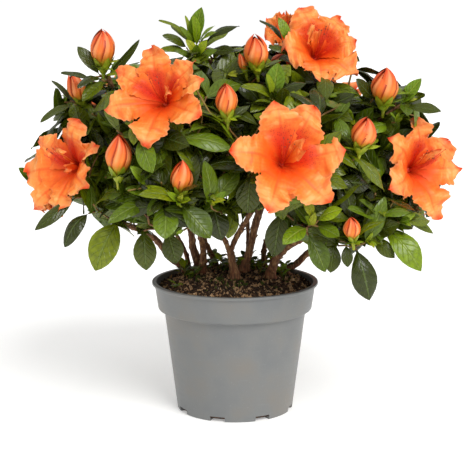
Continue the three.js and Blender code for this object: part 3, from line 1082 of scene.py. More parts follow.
@dataclass
class Soil:
    """The pot's fill: a mound of peat with chips, grit, moss and heaps under the stems."""

    edge: float = 86
    rise: float = 12
    mound_radius: float = 54
    mound_back: float = 8
    heaped: float = 3.5  # loose peat lies this much deeper along the wall
    roughness_drop: float = 0.5  # the rough top lies this much under the even mound
    cut_gap: float = 0.35  # a stem's flat cut stands this much over its heap
    inside: Pairs = ((55.8, 88), (54.1, 76.5), (49.4, 71.8), (41.2, 2.2))
    rings: int = 84
    sectors: int = 220
    pad_spread: float = 1.25
    flare: float = 0.75

    def height(self, x: Array, y: Array) -> Array:
        """Height of the mound above a place."""
        away = np.hypot(x, y - self.mound_back) / self.mound_radius
        return self.edge + self.rise * np.maximum(0, 1 - away * away)

    def foot_level(self, stem: Limb) -> float:
        """The level of the flat cut under a stem."""
        x, y = stem.start
        wide = stem.radii[0] * (1 + self.flare)
        turns = arange(10) * 2 * pi / 10
        around = self.height(x + wide * np.cos(turns), y + wide * np.sin(turns))
        return float(max(around.max(), self.height(x, y))) + self.cut_gap

    def surface(self) -> tuple[Array, Array]:
        """The top's points, ring by ring outwards, and how mossy each one is."""
        shares = linspace(0.02, 1, self.rings)
        turns = arange(self.sectors) * 2 * pi / self.sectors
        x = (self.inside[0][0] * shares[:, None] * np.cos(turns)).ravel()
        y = (self.inside[0][0] * shares[:, None] * np.sin(turns)).ravel()
        out = np.hypot(x, y) / self.inside[0][0]
        z = self.height(x, y) + self.heaped * out**2
        for stem in STEMS:
            reach = stem.radii[0] * (1 + self.flare) * self.pad_spread
            away = np.hypot(x - stem.start[0], y - stem.start[1])
            heap = self.foot_level(stem) - self.cut_gap
            z = np.where(away < reach + 2.5, np.maximum(z, heap - np.maximum(0, away - reach)), z)
        lumps = ((0.9, 7, 0.5), (0.6, 2.6, 3.5), (0.35, 1.1, 7.5))  # height, size, level
        rough = sum(high * noise_at(x / wide, y / wide, level) for high, wide, level in lumps)
        inner = 1 - smooth_step(self.inside[0][0] - 1.5, self.inside[0][0], np.hypot(x, y))
        near = 1 - smooth_step(20, 50, np.hypot(x, y - 12))
        moss = smooth_step(-0.05, 0.3, noise_at(x / 13, y / 13, 21.5)) * near
        return np.column_stack([x, y, z + rough * inner - self.roughness_drop]), moss

    def build(self) -> None:
        """Builds the fill and scatters what lies on it."""
        top, moss = self.surface()
        faces = grid_faces(self.rings, self.sectors, wrap=True)[:, ::-1]
        rings = np.vstack([top, turned(array(self.inside[1:]), self.sectors)])
        middle = self.height(0, 0) - self.roughness_drop
        bin_ = MeshBin()
        add_rings(bin_, rings, self.sectors, [(0, 0, middle), (0, 0, self.inside[-1][1])], flip=True)
        settle("soil_fill", bin_.mesh("soil_fill"), PEAT, ["soil"])

        tree = scattering_tree()
        chunks = pattern_set("chunk", [self.chunk(i, 1.0) for i in range(5)])
        splinters = pattern_set("splinter", [self.chunk(i, 2.6) for i in range(3)])
        tufts = pattern_set("tuft", [self.tuft(i) for i in range(4)])
        tumble = (6.283, 6.283, 6.283)
        even = np.full(len(top), 1.0)
        for name, patterns, finish, room, density, smallest, largest, turn, seed in (
            ("soil_crumbs", chunks, PEAT, even, 2.4e5, 0.7, 2.2, tumble, 3),
            ("bark_chips", chunks, CHIPS, even, 8.5e4, 0.9, 2.5, tumble, 4),
            ("grit_and_fibre", splinters, GRIT, 1 - 0.5 * moss, 3.2e4, 0.35, 0.95, tumble, 5),
            ("moss_tufts", tufts, MOSS, moss, 3.0e5, 0.9, 2.1, (0.5, 0.5, 6.283), 6),
        ):
            ground = one_mesh(name + "_ground", top, faces)
            column = ground.attributes.new("room", "FLOAT", "POINT")
            column.data.foreach_set("value", room.astype(np.float32))
            values = {"Patterns": patterns, "Material": finish.material(), "Density": density, "Seed": seed}
            values |= {"Smallest": smallest, "Largest": largest, "Tumble": turn}
            settle(name, run_tree(name, ground, tree, values), finish, ["soil"])

    @staticmethod
    def chunk(number: int, long_: float) -> Mesh:
        """An uneven lump about 2 mm across, stretched along X."""
        rng = default_rng(100 + number)
        corners = array([(1, 0, 0), (-1, 0, 0), (0, 1, 0), (0, -1, 0), (0, 0, 1), (0, 0, -1)], float)
        corners *= rng.uniform(0.6, 1.2, (6, 3)) * (long_, 0.9 / sqrt(long_), 0.7 / sqrt(long_))
        mesh = one_mesh("chunk", corners + rng.uniform(-0.2, 0.2, (6, 3)), OCTAHEDRON)
        mesh.shade_flat()
        return mesh

    @staticmethod
    def tuft(number: int) -> Mesh:
        """A tuft of moss: seven little pointed blades that lean apart."""
        rng = default_rng(200 + number)
        bin_ = MeshBin()
        for i in range(7):
            turn = i * GOLDEN_TURN + rng.uniform(-0.4, 0.4)
            out = array([cos(turn), sin(turn), 0])
            side = array([-out[1], out[0], 0]) * 0.16
            lean = rng.uniform(0.25, 0.9)
            tip = out * lean + UP * rng.uniform(0.8, 1.4)
            middle = out * lean * 0.4 + UP * 0.55
            points = array([-side * 0.6, side * 0.6, middle + side, middle - side, tip])
            bin_.add(points, array([(0, 1, 2, 3)]), array([(3, 2, 4)]))
        return bin_.mesh("tuft")


@dataclass
class Woodwork:
    """The stems and boughs, with the bark's relief, down to their flat cuts on the soil."""

    soil: Soil
    sides: int = 22
    spacing: float = 1.1
    sunk: float = 4
    flare_height: float = 6
    knob_spacing: float = 5
    stubs: int = 5

    def path(self, limb: Limb, spacing: float) -> Array:
        """The middle line of a limb, on to the middle of its mass."""
        ends = [MASSES["foliage_" + limb.into].centre] if limb.into else []
        starts = [limb.start]
        if limb.rooted:
            level = self.soil.foot_level(limb)
            starts = [(*limb.start, level - self.sunk), (*limb.start, level + self.sunk)]
        return smooth_path([*starts, *limb.through, *ends], spacing)

    def radii(self, limb: Limb, path: Array) -> Array:
        """The radius at each step of a limb's path: a flared collar, then an even taper."""
        steps = norm(np.diff(path, axis=0), axis=1)
        run = np.concatenate([[0], np.cumsum(steps)])
        radius = np.interp(run / run[-1], [0, 1], limb.radii)
        if not limb.rooted:
            return radius
        above = np.maximum(0, run - self.sunk)
        return radius * (1 + self.soil.flare * np.exp(-above / self.flare_height))

    def relief(self, path: Array, radii: Array, number: int) -> Array:
        """A factor on the radius: long ridges, fine cracks and the knobs of old leaf scars."""
        turns = 2 * pi * arange(self.sides) / self.sides
        run = arange(len(path)) * self.spacing
        c, s, far = np.cos(turns), np.sin(turns), run[:, None]
        out = 0.26 * noise_at(c * 1.7, s * 1.7, far * 0.06 + number * 9)
        out = out + 0.2 * noise_at(c * 4.5, s * 4.5, far * 0.22 + number * 5)
        knobs = arange(3, run[-1], self.knob_spacing)
        for k, far in enumerate(knobs):
            turn = k * GOLDEN_TURN + number
            near = np.exp(-(((run - far) / 1.1) ** 2))[:, None]
            side = np.clip(np.cos(turns - turn), 0, 1)[None] ** 2
            out += near * (0.08 + 0.4 * side)
        return 1 + out * np.clip(1.5 / radii, 0.45, 1)[:, None]

    def add_stubs(self, bin_: MeshBin, path: Array, radii: Array, number: int) -> None:
        """Adds the short dead twigs that stand off a limb below the leaves."""
        rng = default_rng(SEED + 400 + number)
        bare = np.flatnonzero(path[:, 2] < 142)[3:-1]
        for i in rng.choice(bare, self.stubs):
            along = unit(path[i + 1] - path[i])
            out = across(along, rng.normal(0, 1, 3))
            way = unit(out + along * rng.uniform(0.5, 1.6))
            start = path[i] + out * radii[i] * 0.5
            run = linspace(0, rng.uniform(2, 4.5), 4)[:, None]
            bend = across(way, UP) * run**2 * 0.02
            sweep(bin_, start + way * run + bend, array([0.75, 0.55, 0.5, 0.4]))

    def build(self) -> None:
        """Builds the stems in one piece and the boughs in another."""
        for name, limbs in (("stem_bark", STEMS), ("bough_bark", BOUGHS)):
            bin_ = MeshBin()
            for number, limb in enumerate(limbs):
                path = self.path(limb, self.spacing)
                radii = self.radii(limb, path)
                relief = self.relief(path, radii, number)
                if limb.rooted:
                    level = self.soil.foot_level(limb)
                    keep = path[:, 2] >= level
                    path, radii, relief = path[keep], radii[keep], relief[keep]
                    path[0, 2] = level
                sweep(bin_, path, radii, relief)
                self.add_stubs(bin_, path, radii, number)
            settle(name, bin_.mesh(name), BARK, [limb.name for limb in limbs])


# ---- Leaves ----


@dataclass(frozen=True)
class LeafPattern:
    """One leaf, 1 mm long and 1 mm wide until it is dealt out, hollow along its rib."""

    cell: int
    columns: int
    rows: int
    arch: float = 0.08  # how far its middle stands up over its ends
    fold: float = 0.16  # how far its margins stand up over its rib
    roll: float = 0.08  # how far its margins turn down again
    wave: float = 0.02
    swing: float = 0.0  # how far its middle lies to one side
    widest: float = 1.0  # below 1 the leaf is widest nearer its tip

    def mesh(self) -> Mesh:
        """The leaf's mesh, four quads across and ten along."""
        v = array([0, 0.05, 0.12, 0.22, 0.34, 0.46, 0.58, 0.7, 0.82, 0.93, 1.0])[:, None]
        t = array([-1, -0.52, 0, 0.52, 1])[None]
        widths = array([0.03, 0.05, 0.17, 0.31, 0.42, 0.485, 0.497, 0.45, 0.34, 0.17, 0.012])
        half = np.interp(v**self.widest, v[:, 0], widths)
        edge = np.abs(t)
        lift = self.fold * edge * half - self.roll * edge**3 * half * 2 + self.wave * t * np.sin(9 * v + 2)
        z = self.arch * np.sin(pi * v**0.9) + lift
        points = rows_of(v, t * half + self.swing * np.sin(pi * v), z)
        column, row = self.cell % self.columns, self.cell // self.columns
        u = (column + 0.5 + 0.46 * t * (half / 0.5) ** 0.25) / self.columns
        uv = rows_of(u, (row + 0.03 + 0.94 * v) / self.rows)
        return one_mesh("leaf", points, grid_faces(11, 5)[:, ::-1], uv=uv)


SHAPES = (  # arch, fold, roll, wave, swing and widest of each leaf pattern
    (0.07, 0.20, 0.06, 0.012),
    (0.13, 0.12, 0.10, 0.018),
    (0.04, 0.26, 0.05, 0.012, 0.03),
    (0.17, 0.10, 0.12, 0.02, -0.03),
    (0.09, 0.17, 0.09, 0.025, 0.0, 0.92),
    (0.06, 0.14, 0.04, 0.015, 0.0, 1.08),
    (0.15, 0.22, 0.10, 0.02),
    (0.02, 0.18, 0.07, 0.02, 0.04),
)


@dataclass(frozen=True)
class Blade:
    """A leaf with a place of its own: its ends, its width, its kind and its roll in degrees."""

    base: Array
    tip: Array
    width: float
    green: Green = MATURE
    roll: float = 0


BLADE_ROWS = (  # base, tip, width, and where they differ from the usual, kind and roll
    (-27, -3, 262, -29, -10, 284, 8, YOUNG, 35), (-27, -7, 254, -19, -14, 267, 7, YOUNG),
    (-27, -7, 254, -34, -14, 267, 7, YOUNG), (-27, -8, 252, -12, -17, 260, 7, FRESH),
    (-27, -8, 252, -42, -17, 260, 7, FRESH), (-27, -9, 250, -26, -19, 264, 7, YOUNG),
    (-27, -9, 248, -18, -22, 251, 7, FRESH), (-27, -9, 248, -37, -22, 250, 7, FRESH),
    (-30, 4, 262, -24, 10, 286, 9, FRESH, 10), (-30, -4, 262, -38, -14, 276, 6, FRESH, 10),
    (-24, -4, 262, -12, -18, 272, 7, FRESH, -20), (-28, 6, 262, -46, 22, 276, 8, MATURE, 10),
    (-22, 6, 260, -4, 24, 272, 8, MATURE, -10), (-27, -6, 258, -30, -30, 258, 9),
    (-29, 0, 263, -23, -6, 289, 11, YOUNG), (-32, 2, 265, -35, 4, 283, 6, YOUNG, 50),
    (-25, 2, 265, -14, 4, 276, 6, YOUNG, -40), (-21, 0, 263, 3, -8, 276, 8, MATURE, -25),
    (-34, 0, 265, -53, -8, 280, 7, MATURE, 30), (-34, -4, 261, -50, -16, 270, 9),
    (-34, -4, 258, -52, -20, 260, 8), (-20, 0, 258, 0, -12, 259, 9),
    (-16, 4, 253, 10, -8, 246, 6, MATURE, 30), (-94, -17, 243, -109, -14, 262, 10),
    (-88, -18, 243, -66, -16, 267, 6, MATURE, 55), (-92, -24, 240, -106, -46, 236, 9, MATURE, 20),
    (-88, -24, 240, -75, -42, 245, 8, MATURE, -10), (-91, -14, 243, -97, 4, 257, 8),
    (-87, -15, 242, -77, 2, 253, 8, FRESH, 20), (-100, -20, 241, -119, -30, 245, 8, MATURE, 20),
    (-90, -28, 239, -103, -44, 227, 10), (-113, -12, 222, -134, -28, 211, 8, MATURE, 15),
    (-116, -6, 224, -129, -4, 238, 6, MATURE, 30), (33, -14, 265, 17, -10, 280, 6, MATURE, 40),
    (36, -16, 265, 30, -18, 282, 8, FRESH, 10), (44, -10, 254, 23, -20, 262, 9, MATURE, 10),
    (63, -16, 236, 86, -30, 229, 9, MATURE, 20), (77, 0, 259, 88, 2, 251, 5, MATURE, 30),
    (26, -48, 229, 29, -50, 253, 13, YOUNG), (25, -50, 229, 21, -56, 246, 8, YOUNG, 40),
    (27, -46, 229, 35, -44, 247, 8, YOUNG, -40), (26, -48, 228, 48, -58, 240, 10, MATURE, -15),
    (26, -48, 228, 4, -58, 238, 10, MATURE, 15), (27, -50, 227, 46, -66, 226, 10, FRESH),
    (25, -50, 227, 10, -68, 222, 10), (95, -26, 227, 83, -30, 241, 10),
    (114, -24, 223, 128, -26, 241, 9, YOUNG, 15), (116, -26, 221, 141, -36, 219, 9),
    (-111, -34, 159, -137, -48, 139, 9, MATURE, -30), (-101, -38, 149, -117, -46, 127, 13, MATURE, 10),
    (-80, -48, 145, -95, -58, 113, 22), (-62, -56, 140, -60, -62, 114, 16),
    (-58, -70, 162, -83, -86, 151, 12, FRESH), (-46, -78, 162, -46, -92, 141, 17, FRESH),
    (-35, -84, 162, -16, -90, 141, 17, FRESH), (-46, -52, 139, -40, -54, 117, 15),
    (-57, -80, 174, -68, -86, 188, 8, YOUNG), (-58, -84, 175, -41, -92, 167, 8, YOUNG),
    (51, -76, 153, 45, -80, 166, 7, YOUNG), (55, -78, 151, 70, -88, 160, 10, YOUNG),
    (47, -78, 146, 31, -92, 138, 12, YOUNG), (55, -78, 147, 68, -90, 142, 10, FRESH),
    (49, -72, 140, 60, -78, 116, 14, FRESH), (67, -64, 133, 64, -70, 114, 12),
    (74, -72, 133, 75, -76, 119, 8), (82, -62, 128, 91, -66, 94, 18),
    (102, -48, 141, 126, -62, 113, 18, FRESH), (94, -52, 135, 108, -60, 122, 10, MATURE, 20),
    (115, -34, 151, 136, -44, 136, 7, MATURE, 35), (99, -50, 145, 103, -54, 162, 9, YOUNG),
    (104, -48, 145, 125, -56, 150, 9, FRESH), (10, -82, 181, 8, -84, 157, 17),
    (31, -64, 154, 26, -66, 124, 16), (-15, -58, 159, -9, -60, 134, 16), (1, -50, 155, -5, -52, 134, 11),
)
BLADES = tuple(Blade(xyz(row[:3]), xyz(row[3:6]), *row[6:]) for row in BLADE_ROWS)


# ---- Blooms and buds ----


@dataclass(frozen=True)
class Lobe:
    """A petal: its turn from the top in degrees, how far out it reaches and how wide it is."""

    turn: float
    reach: float
    width: float
    kind: PetalKind = OUTER
    droop: float = 3
    lift: float = 0


@dataclass(frozen=True)
class Bloom:
    """An open bloom: the middle of its mouth, the way it faces and its main petals."""

    centre: Array
    axis: Array
    lobes: tuple[Lobe, ...]
    number: int = 0
    depth: float = 21
    calyx: float = 9
    stalk: float = 7

    @property
    def foot(self) -> Array:
        """Where its stalk leaves the twig."""
        return self.centre - self.axis * (self.depth + self.calyx + self.stalk)

    def frame(self) -> Array:
        """Rows: the bloom's right, its top and its axis."""
        top = across(self.axis, UP)
        return np.stack([np.cross(top, self.axis), top, self.axis])


@dataclass(frozen=True)
class Bud:
    """A furled bud: its foot, its tip and its radius."""

    base: Array
    tip: Array
    radius: float

    @property
    def axis(self) -> Array:
        """From its foot to its tip."""
        return unit(self.tip - self.base)


BUD_GRID = (15, 8)  # points along and across a bud's petal
BUD_STATIONS = (0, 0.08, 0.2, 0.36, 0.5, 0.64, 0.78, 0.88, 0.95, 1)
BUD_RADII = (0.34, 0.46, 0.7, 0.93, 1.0, 0.93, 0.72, 0.5, 0.27, 0.05)

BUD_ROWS = (
    (-91, -18, 248, -91, -22, 275, 8.7), (-107, -8, 223, -115, -12, 244, 6.4),
    (-77, -73, 180, -76, -77, 208, 8.8), (-35, -88, 170, -34, -92, 193, 7.4),
    (-5, -78, 219, -6, -82, 242, 7.1), (15, -38, 248, 13, -42, 272, 8.5), (7, -34, 246, 3, -38, 259, 3.1),
    (102, -28, 223, 103, -32, 249, 9.6), (83, -68, 197, 87, -72, 219, 8.5),
    (78, -78, 138, 76, -82, 154, 5.8),
)
BUDS = tuple(Bud(xyz(row[:3]), xyz(row[3:6]), row[6]) for row in BUD_ROWS)


PETAL_STATIONS = (0, 0.1, 0.22, 0.36, 0.47, 0.57, 0.68, 0.78, 0.87, 0.94, 0.98, 1)
PETAL_HALVES = (0.1, 0.2, 0.46, 0.8, 0.96, 1.0, 0.93, 0.78, 0.57, 0.36, 0.2, 0.04)


@dataclass
class Blossom:
    """Makes the petals, stamens, calyx and stalk of every bloom and bud, each kind in one piece."""

    rows: int = 46
    columns: int = 15
    teeth: float = 13
    ruffled: float = 3.1  # mm up and down along a petal's margin
    crimped: float = 0.95  # mm of fine crimps on top
    petals: MeshBin = field(default_factory=MeshBin)
    sepals: MeshBin = field(default_factory=MeshBin)
    filaments: MeshBin = field(default_factory=MeshBin)
    anthers: MeshBin = field(default_factory=MeshBin)
    bud_petals: MeshBin = field(default_factory=MeshBin)

    def petal(self, bloom: Bloom, lobe: Lobe, rng: Generator) -> None:
        """Adds one petal of a bloom, with its ruffles drawn from rng."""
        small = lobe.reach < 20
        rows, columns = (18, 9) if small else (self.rows, self.columns)
        s = linspace(0, 1, rows)[:, None]
        t = linspace(-1, 1, columns)[None]
        phases = rng.uniform(0, 2 * pi, 5)
        half = lobe.width / 2 * np.interp(s, PETAL_STATIONS, PETAL_HALVES)
        teeth = np.abs(np.sin(pi * self.teeth * s + phases[0] + np.sign(t)))
        waves = np.sin(2 * pi * 2.7 * s + phases[4] + 2 * np.sign(t))
        scallop = 0.93 + 0.11 * teeth + 0.07 * waves
        aside = t * half * scallop
        radius = 1.3 + (lobe.reach - 1.3) * s**1.08
        spread = aside / np.maximum(radius, 2.5)
        flat = smooth_step(0.1, 0.45, s)
        out = radius * (np.cos(spread) * (1 - flat) + flat)
        side = radius * np.sin(spread) * (1 - flat) + aside * flat
        margin = np.abs(t) ** 2.2
        grown = smooth_step(0.25, 0.7, s)
        left = np.sin(2 * pi * 2.6 * s + phases[1])
        right = np.sin(2 * pi * 2.3 * s + phases[2])
        ruffle = np.where(t < 0, left, right)
        crimp = np.sin(2 * pi * 7 * s + phases[3] + 2 * t)
        ribs = 1.7 * np.exp(-((t / 0.16) ** 2)) * np.sin(pi * s) ** 0.8
        creases = 1.3 * np.exp(-(((np.abs(t) - 0.56) / 0.14) ** 2)) * np.sin(pi * s)
        rolls = 1.9 * np.sin(2 * pi * (1.1 * s + 0.3 * t) + phases[4])
        edge = (self.ruffled * ruffle + self.crimped * crimp - 0.1 * half) * margin
        rise = lobe.lift * s - bloom.depth * (1 - s) ** 2.3 - lobe.droop * s**3 - ribs
        rise = rise + (edge + 0.12 * aside - creases + rolls) * grown
        turn = radians(lobe.turn)
        outward = array([sin(turn), cos(turn), 0])
        frame = np.stack([outward, array([cos(turn), -sin(turn), 0]), UP]) @ bloom.frame()
        points = rows_of(out, side, rise) @ frame + bloom.centre
        uv = rows_of((lobe.kind.value + 0.5 + 0.48 * t) / len(PetalKind), 0.01 + 0.98 * s)
        self.petals.add(points, grid_faces(rows, columns), uv=uv)

    def stamens(self, bloom: Bloom, rng: Generator) -> None:
        """Adds the stamens and the style, which curve up towards the blotched petals."""
        frame = bloom.frame()
        for i in range(7):
            style = i == 6
            length = (33 if style else rng.uniform(22, 29)) * bloom.depth / 21
            aim = rng.uniform(-0.5, 0.5)
            lean = rng.uniform(0.3, 0.85)
            root = array([rng.uniform(-1, 1), rng.uniform(-1, 1), 1.0])
            start = root - [0, 0, bloom.depth]
            end = start + length * unit([sin(aim) * lean, cos(aim) * lean * 0.55, 1])
            middle = (start + end) / 2 - frame[1] @ frame.T * 2.2
            path = smooth_path([start, middle, end], 3.5) @ frame + bloom.centre
            sweep(self.filaments, path, linspace(0.3, 0.18, len(path)))
            size = 0.6 if style else 0.8
            along = unit(path[-1] - path[-2])
            side = across(along, frame[0])
            halves = ((along, 1.1), (side, 0.75), (np.cross(along, side), 0.6))
            points = [path[-1] + way * sign * half * size for way, half in halves for sign in (1, -1)]
            self.anthers.add(array(points), OCTAHEDRON)

    def calyx(self, foot: Array, axis: Array, size: float, reach: float, wide: float) -> None:
        """Adds a green cup with five pointed sepals.

        Args:
            foot: The bottom of the cup.
            axis: The way it opens.
            size: The sepals' length.
            reach: The radius they spread to.
            wide: Their width.
        """
        s = linspace(0, 1, 7)[:, None]
        t = linspace(-1, 1, 5)[None]
        half = wide / 2 * np.interp(s, (0, 0.3, 0.6, 0.85, 1), (0.8, 1, 0.85, 0.45, 0.04))
        radius = 0.9 + (reach - 0.9) * s**0.85
        angle = t * half / np.maximum(radius, 0.9)
        local = rows_of(radius * np.cos(angle), radius * np.sin(angle), size * s)
        for i in range(5):
            out = spoke(axis, (0.3, -0.2, 1.0), 2 * pi * i / 5 + 0.4)
            points = local @ np.stack([out, np.cross(axis, out), axis]) + foot
            self.sepals.add(points, grid_faces(7, 5)[:, ::-1])

    def bloom(self, bloom: Bloom) -> None:
        """Adds a whole bloom."""
        rng = default_rng(SEED + 31 * bloom.number)
        for lobe in bloom.lobes:
            self.petal(bloom, lobe, rng)
        for _ in range(2):
            sizes = rng.uniform(-60, 110), rng.uniform(8, 13), rng.uniform(6, 9)
            kind = OUTER if rng.random() < 0.5 else INNER
            self.petal(bloom, Lobe(*sizes, kind, rng.uniform(-8, -2)), rng)
        self.stamens(bloom, rng)
        throat = bloom.centre - bloom.axis * bloom.depth
        cup = throat - bloom.axis * bloom.calyx
        path = array([cup - bloom.axis, cup + bloom.axis * 2.5, throat, throat + bloom.axis * 2])
        sweep(self.filaments, path, array([1.2, 2.1, 2.1, 1.6]))
        self.calyx(cup - bloom.axis, bloom.axis, 8.5, 3.4, 3.6)
        stalk = smooth_path([bloom.foot, (bloom.foot + cup) / 2, cup], 2.5)
        sweep(self.sepals, stalk, np.full(len(stalk), 0.85))

    def bud(self, bud: Bud, number: int) -> None:
        """Adds a bud of six overlapping petals with its sepals and stalk.

        Args:
            bud: Where it stands and how big it is.
            number: Its place in the list, which sets its turn.
        """
        foot, axis = bud.base, bud.axis
        length = norm(bud.tip - foot)
        side = across(axis, array([0.0, -1.0, 0.1]))
        s = linspace(0, 1, BUD_GRID[0])[:, None]
        t = linspace(0, 1, BUD_GRID[1])[None]
        profile = np.interp(s, BUD_STATIONS, BUD_RADII)
        taper = np.interp(s, (0, 0.3, 0.72, 0.9, 1), (0.85, 1, 1, 0.92, 0.6))
        for k in range(6):
            turn = 2 * pi * k / 6 + number * 1.3 + radians(48) * s
            angle = turn + (t - 0.5) * radians(98) * taper
            crown = 1 + 0.09 * np.sin(pi * t) + 0.2 * (t - 0.5) + 0.03 * np.sin(7 * s + 2 * k)
            radius = bud.radius * 0.92 * profile * crown
            height = length * s * (0.94 + 0.06 * sin(k * 2.4 + number))
            local = rows_of(radius * np.cos(angle), radius * np.sin(angle), height)
            points = local @ np.stack([side, np.cross(axis, side), axis]) + foot
            uv = rows_of(0.02 + 0.96 * t, 0.01 + 0.98 * s)
            self.bud_petals.add(points, grid_faces(*BUD_GRID), uv=uv)
        neck = foot - axis * length * 0.2
        self.calyx(neck, axis, length * 0.5, bud.radius * 0.97, bud.radius * 0.8)
        stalk = array([neck - axis * 4, neck - axis, foot + axis * 1.5])
        sweep(self.sepals, stalk, array([1.0, 1.2, bud.radius * 0.34]))


BLOOMS = tuple(
    Bloom(xyz(centre), unit(facing), tuple(Lobe(*row) for row in rows), number, depth)
    for number, (centre, facing, depth, rows) in enumerate((
        ((-52, -80, 235), (-0.30, -0.86, 0.42), 21, (
            (345, 35, 24, BLOTCHED), (46, 34, 20, BLOTCHED, 3, 2), (74, 35, 15, OUTER, 1, 3),
            (113, 36, 24), (183, 36, 24), (252, 37, 22, PALE), (296, 34, 18, BLOTCHED, 3, 2),
        )),
        ((-120, -40, 183), (-0.62, -0.76, 0.18), 21, (
            (17, 34, 26, BLOTCHED), (62, 35, 15, BLOTCHED), (120, 28, 24, PALE), (182, 33, 17, OUTER, 6),
            (218, 42, 18, OUTER, 6), (257, 37, 30), (300, 29, 27, BLOTCHED),
        )),
        ((59, -20, 265), (0.18, -0.80, 0.57), 21, (
            (344, 33, 26, BLOTCHED), (41, 29, 26, BLOTCHED), (85, 27, 24, BLOTCHED), (138, 34, 27, PALE),
            (185, 31, 24), (262, 27, 30, PALE),
        )),
        ((35, -95, 197), (0.22, -0.88, 0.42), 22, (
            (353, 38, 29, BLOTCHED), (33, 40, 28, BLOTCHED), (87, 39, 32, BLOTCHED), (144, 41, 32, PALE),
            (206, 41, 28, PALE), (277, 39, 27),
        )),
        ((133, -30, 180), (0.56, -0.80, 0.20), 21, (
            (359, 36, 24, BLOTCHED), (56, 31, 24, BLOTCHED), (94, 33, 26), (168, 38, 30, PALE),
            (250, 36, 27, PALE), (308, 37, 24),
        )),
        ((37, 10, 273), (-0.20, -0.74, 0.62), 12, (
            (345, 15, 15), (50, 13, 14), (120, 13, 14), (190, 14, 14), (252, 17, 15, PALE),
            (303, 20, 15, PALE),
        )),
    ), 1)
)


def even_bloom(centre: Point, facing: Point, reach: float, number: int) -> Bloom:
    """A bloom of six petals whose sizes and turns vary a little round a reach."""
    rng = default_rng(SEED + 900 + number)
    start = rng.uniform(-14, 14)
    lobes = []
    for k in range(6):
        turn = (start + k * 60 + rng.uniform(-9, 9)) % 360
        kind = BLOTCHED if turn < 75 or turn > 285 else OUTER
        sizes = reach * rng.uniform(0.93, 1.08), reach * rng.uniform(0.72, 0.86)
        lobes.append(Lobe(turn, *sizes, kind, rng.uniform(1, 6)))
    return Bloom(xyz(centre), unit(facing), tuple(lobes), number)


BLOOMS_BEHIND = tuple(
    even_bloom(*row, 20 + i)
    for i, row in enumerate((
        ((138, 58, 160), (0.90, 0.38, 0.18), 30),
        ((-134, 46, 160), (-0.90, 0.40, 0.16), 30),
        ((-92, 100, 214), (-0.55, 0.70, 0.45), 33),
        ((-6, 128, 180), (-0.05, 0.96, 0.25), 34),
        ((78, 112, 212), (0.45, 0.74, 0.48), 33),
        ((64, 126, 144), (0.35, 0.92, 0.12), 30),
    ))
)


# ---- Crown ----


@dataclass(frozen=True)
class KeepClear:
    """A round space that leaves dealt by rule stay out of."""

    centre: Array
    axis: Array
    radius: float
    back: float
    front: float

    def holds(self, points: Array) -> bool:
        """True if any of the points is in the space."""
        away = points - self.centre
        along = away @ self.axis
        off = norm(away - along[:, None] * self.axis, axis=1)
        return bool(np.any((off < self.radius) & (along > -self.back) & (along < self.front)))


@dataclass
class Shoot:
    """The end of a twig: its place, its direction, and what grows on it."""

    at: Array
    along: Array
    leaves: int = 0
    length: float = 30
    green: Green = MATURE
    arrive: float = 0.7

    def spoke(self, turn: float) -> Array:
        """The direction square to it at a turn from its front."""
        return spoke(self.along, (0.2, -0.9, 0.4), turn)


class Skeleton:
    """The wood inside the crown: every new twig springs from the best place on what has grown."""

    spacing = 6  # mm between the nodes of a twig

    def __init__(self, woodwork: Woodwork) -> None:
        """Starts from the stems and boughs."""
        self.points: list[Array] = []
        self.parents: list[int] = []
        self.directions: list[Array] = []
        self.from_root: list[float] = []
        self.open: list[bool] = []
        self.twigs: list[list[int]] = []
        for limb in (*STEMS, *BOUGHS):
            path = woodwork.path(limb, 5)
            before = -1
            for i, point in enumerate(path):
                ahead = path[min(i + 1, len(path) - 1)] - path[max(i - 1, 0)]
                wide = hypot(point[0], point[1])
                free = point[2] > 128 or (point[2] > 114 and wide > 62)
                before = self.add(point, before, unit(ahead), free)

    def add(self, point: Array, parent: int, direction: Array, free: bool = True) -> int:
        """Adds a node after its parent, free if a twig may spring from it, and gives its number."""
        run = 0.0
        if parent >= 0:
            run = self.from_root[parent] + norm(point - self.points[parent])
        self.points.append(point)
        self.parents.append(parent)
        self.directions.append(direction)
        self.from_root.append(run)
        self.open.append(free)
        return len(self.points) - 1

    def grow(self, shoot: Shoot) -> None:
        """Grows a twig to a shoot from the node that gives the shortest and straightest way."""
        points = array(self.points)
        away = shoot.at - points
        distance = norm(away, axis=1)
        forward = (away * array(self.directions)).sum(axis=1) / np.maximum(distance, 1)
        down = np.maximum(0, points[:, 2] - shoot.at[2] + 4)
        cost = distance + 0.16 * array(self.from_root) + 14 * (1 - forward) + 0.45 * down
        cost += np.where(array(self.open), 0, 1e4) + np.where(distance < 5, 30, 0)
        source = int(np.argmin(cost))
        start, length = points[source], distance[source]
        leave = self.directions[source] * length * 0.55
        arrive = shoot.along * length * shoot.arrive
        steps = max(2, int(round(length / self.spacing)))
        twig = [source]
        for t in linspace(0, 1, steps + 1)[1:]:
            point = hermite(start, shoot.at, leave, arrive, t)
            ahead = unit(point - self.points[twig[-1]])
            twig.append(self.add(point, twig[-1], ahead))
        self.twigs.append(twig)

    def radii(self, thin: float = 0.62, power: float = 2.75) -> Array:
        """The radius at each node, where the wood of all the twigs beyond it meets."""
        load = np.zeros(len(self.points))
        for number in range(len(self.points) - 1, -1, -1):
            load[number] = max(load[number], thin**power)
            if self.parents[number] >= 0:
                load[self.parents[number]] += load[number]
        return np.minimum(load ** (1 / power), 2.3)


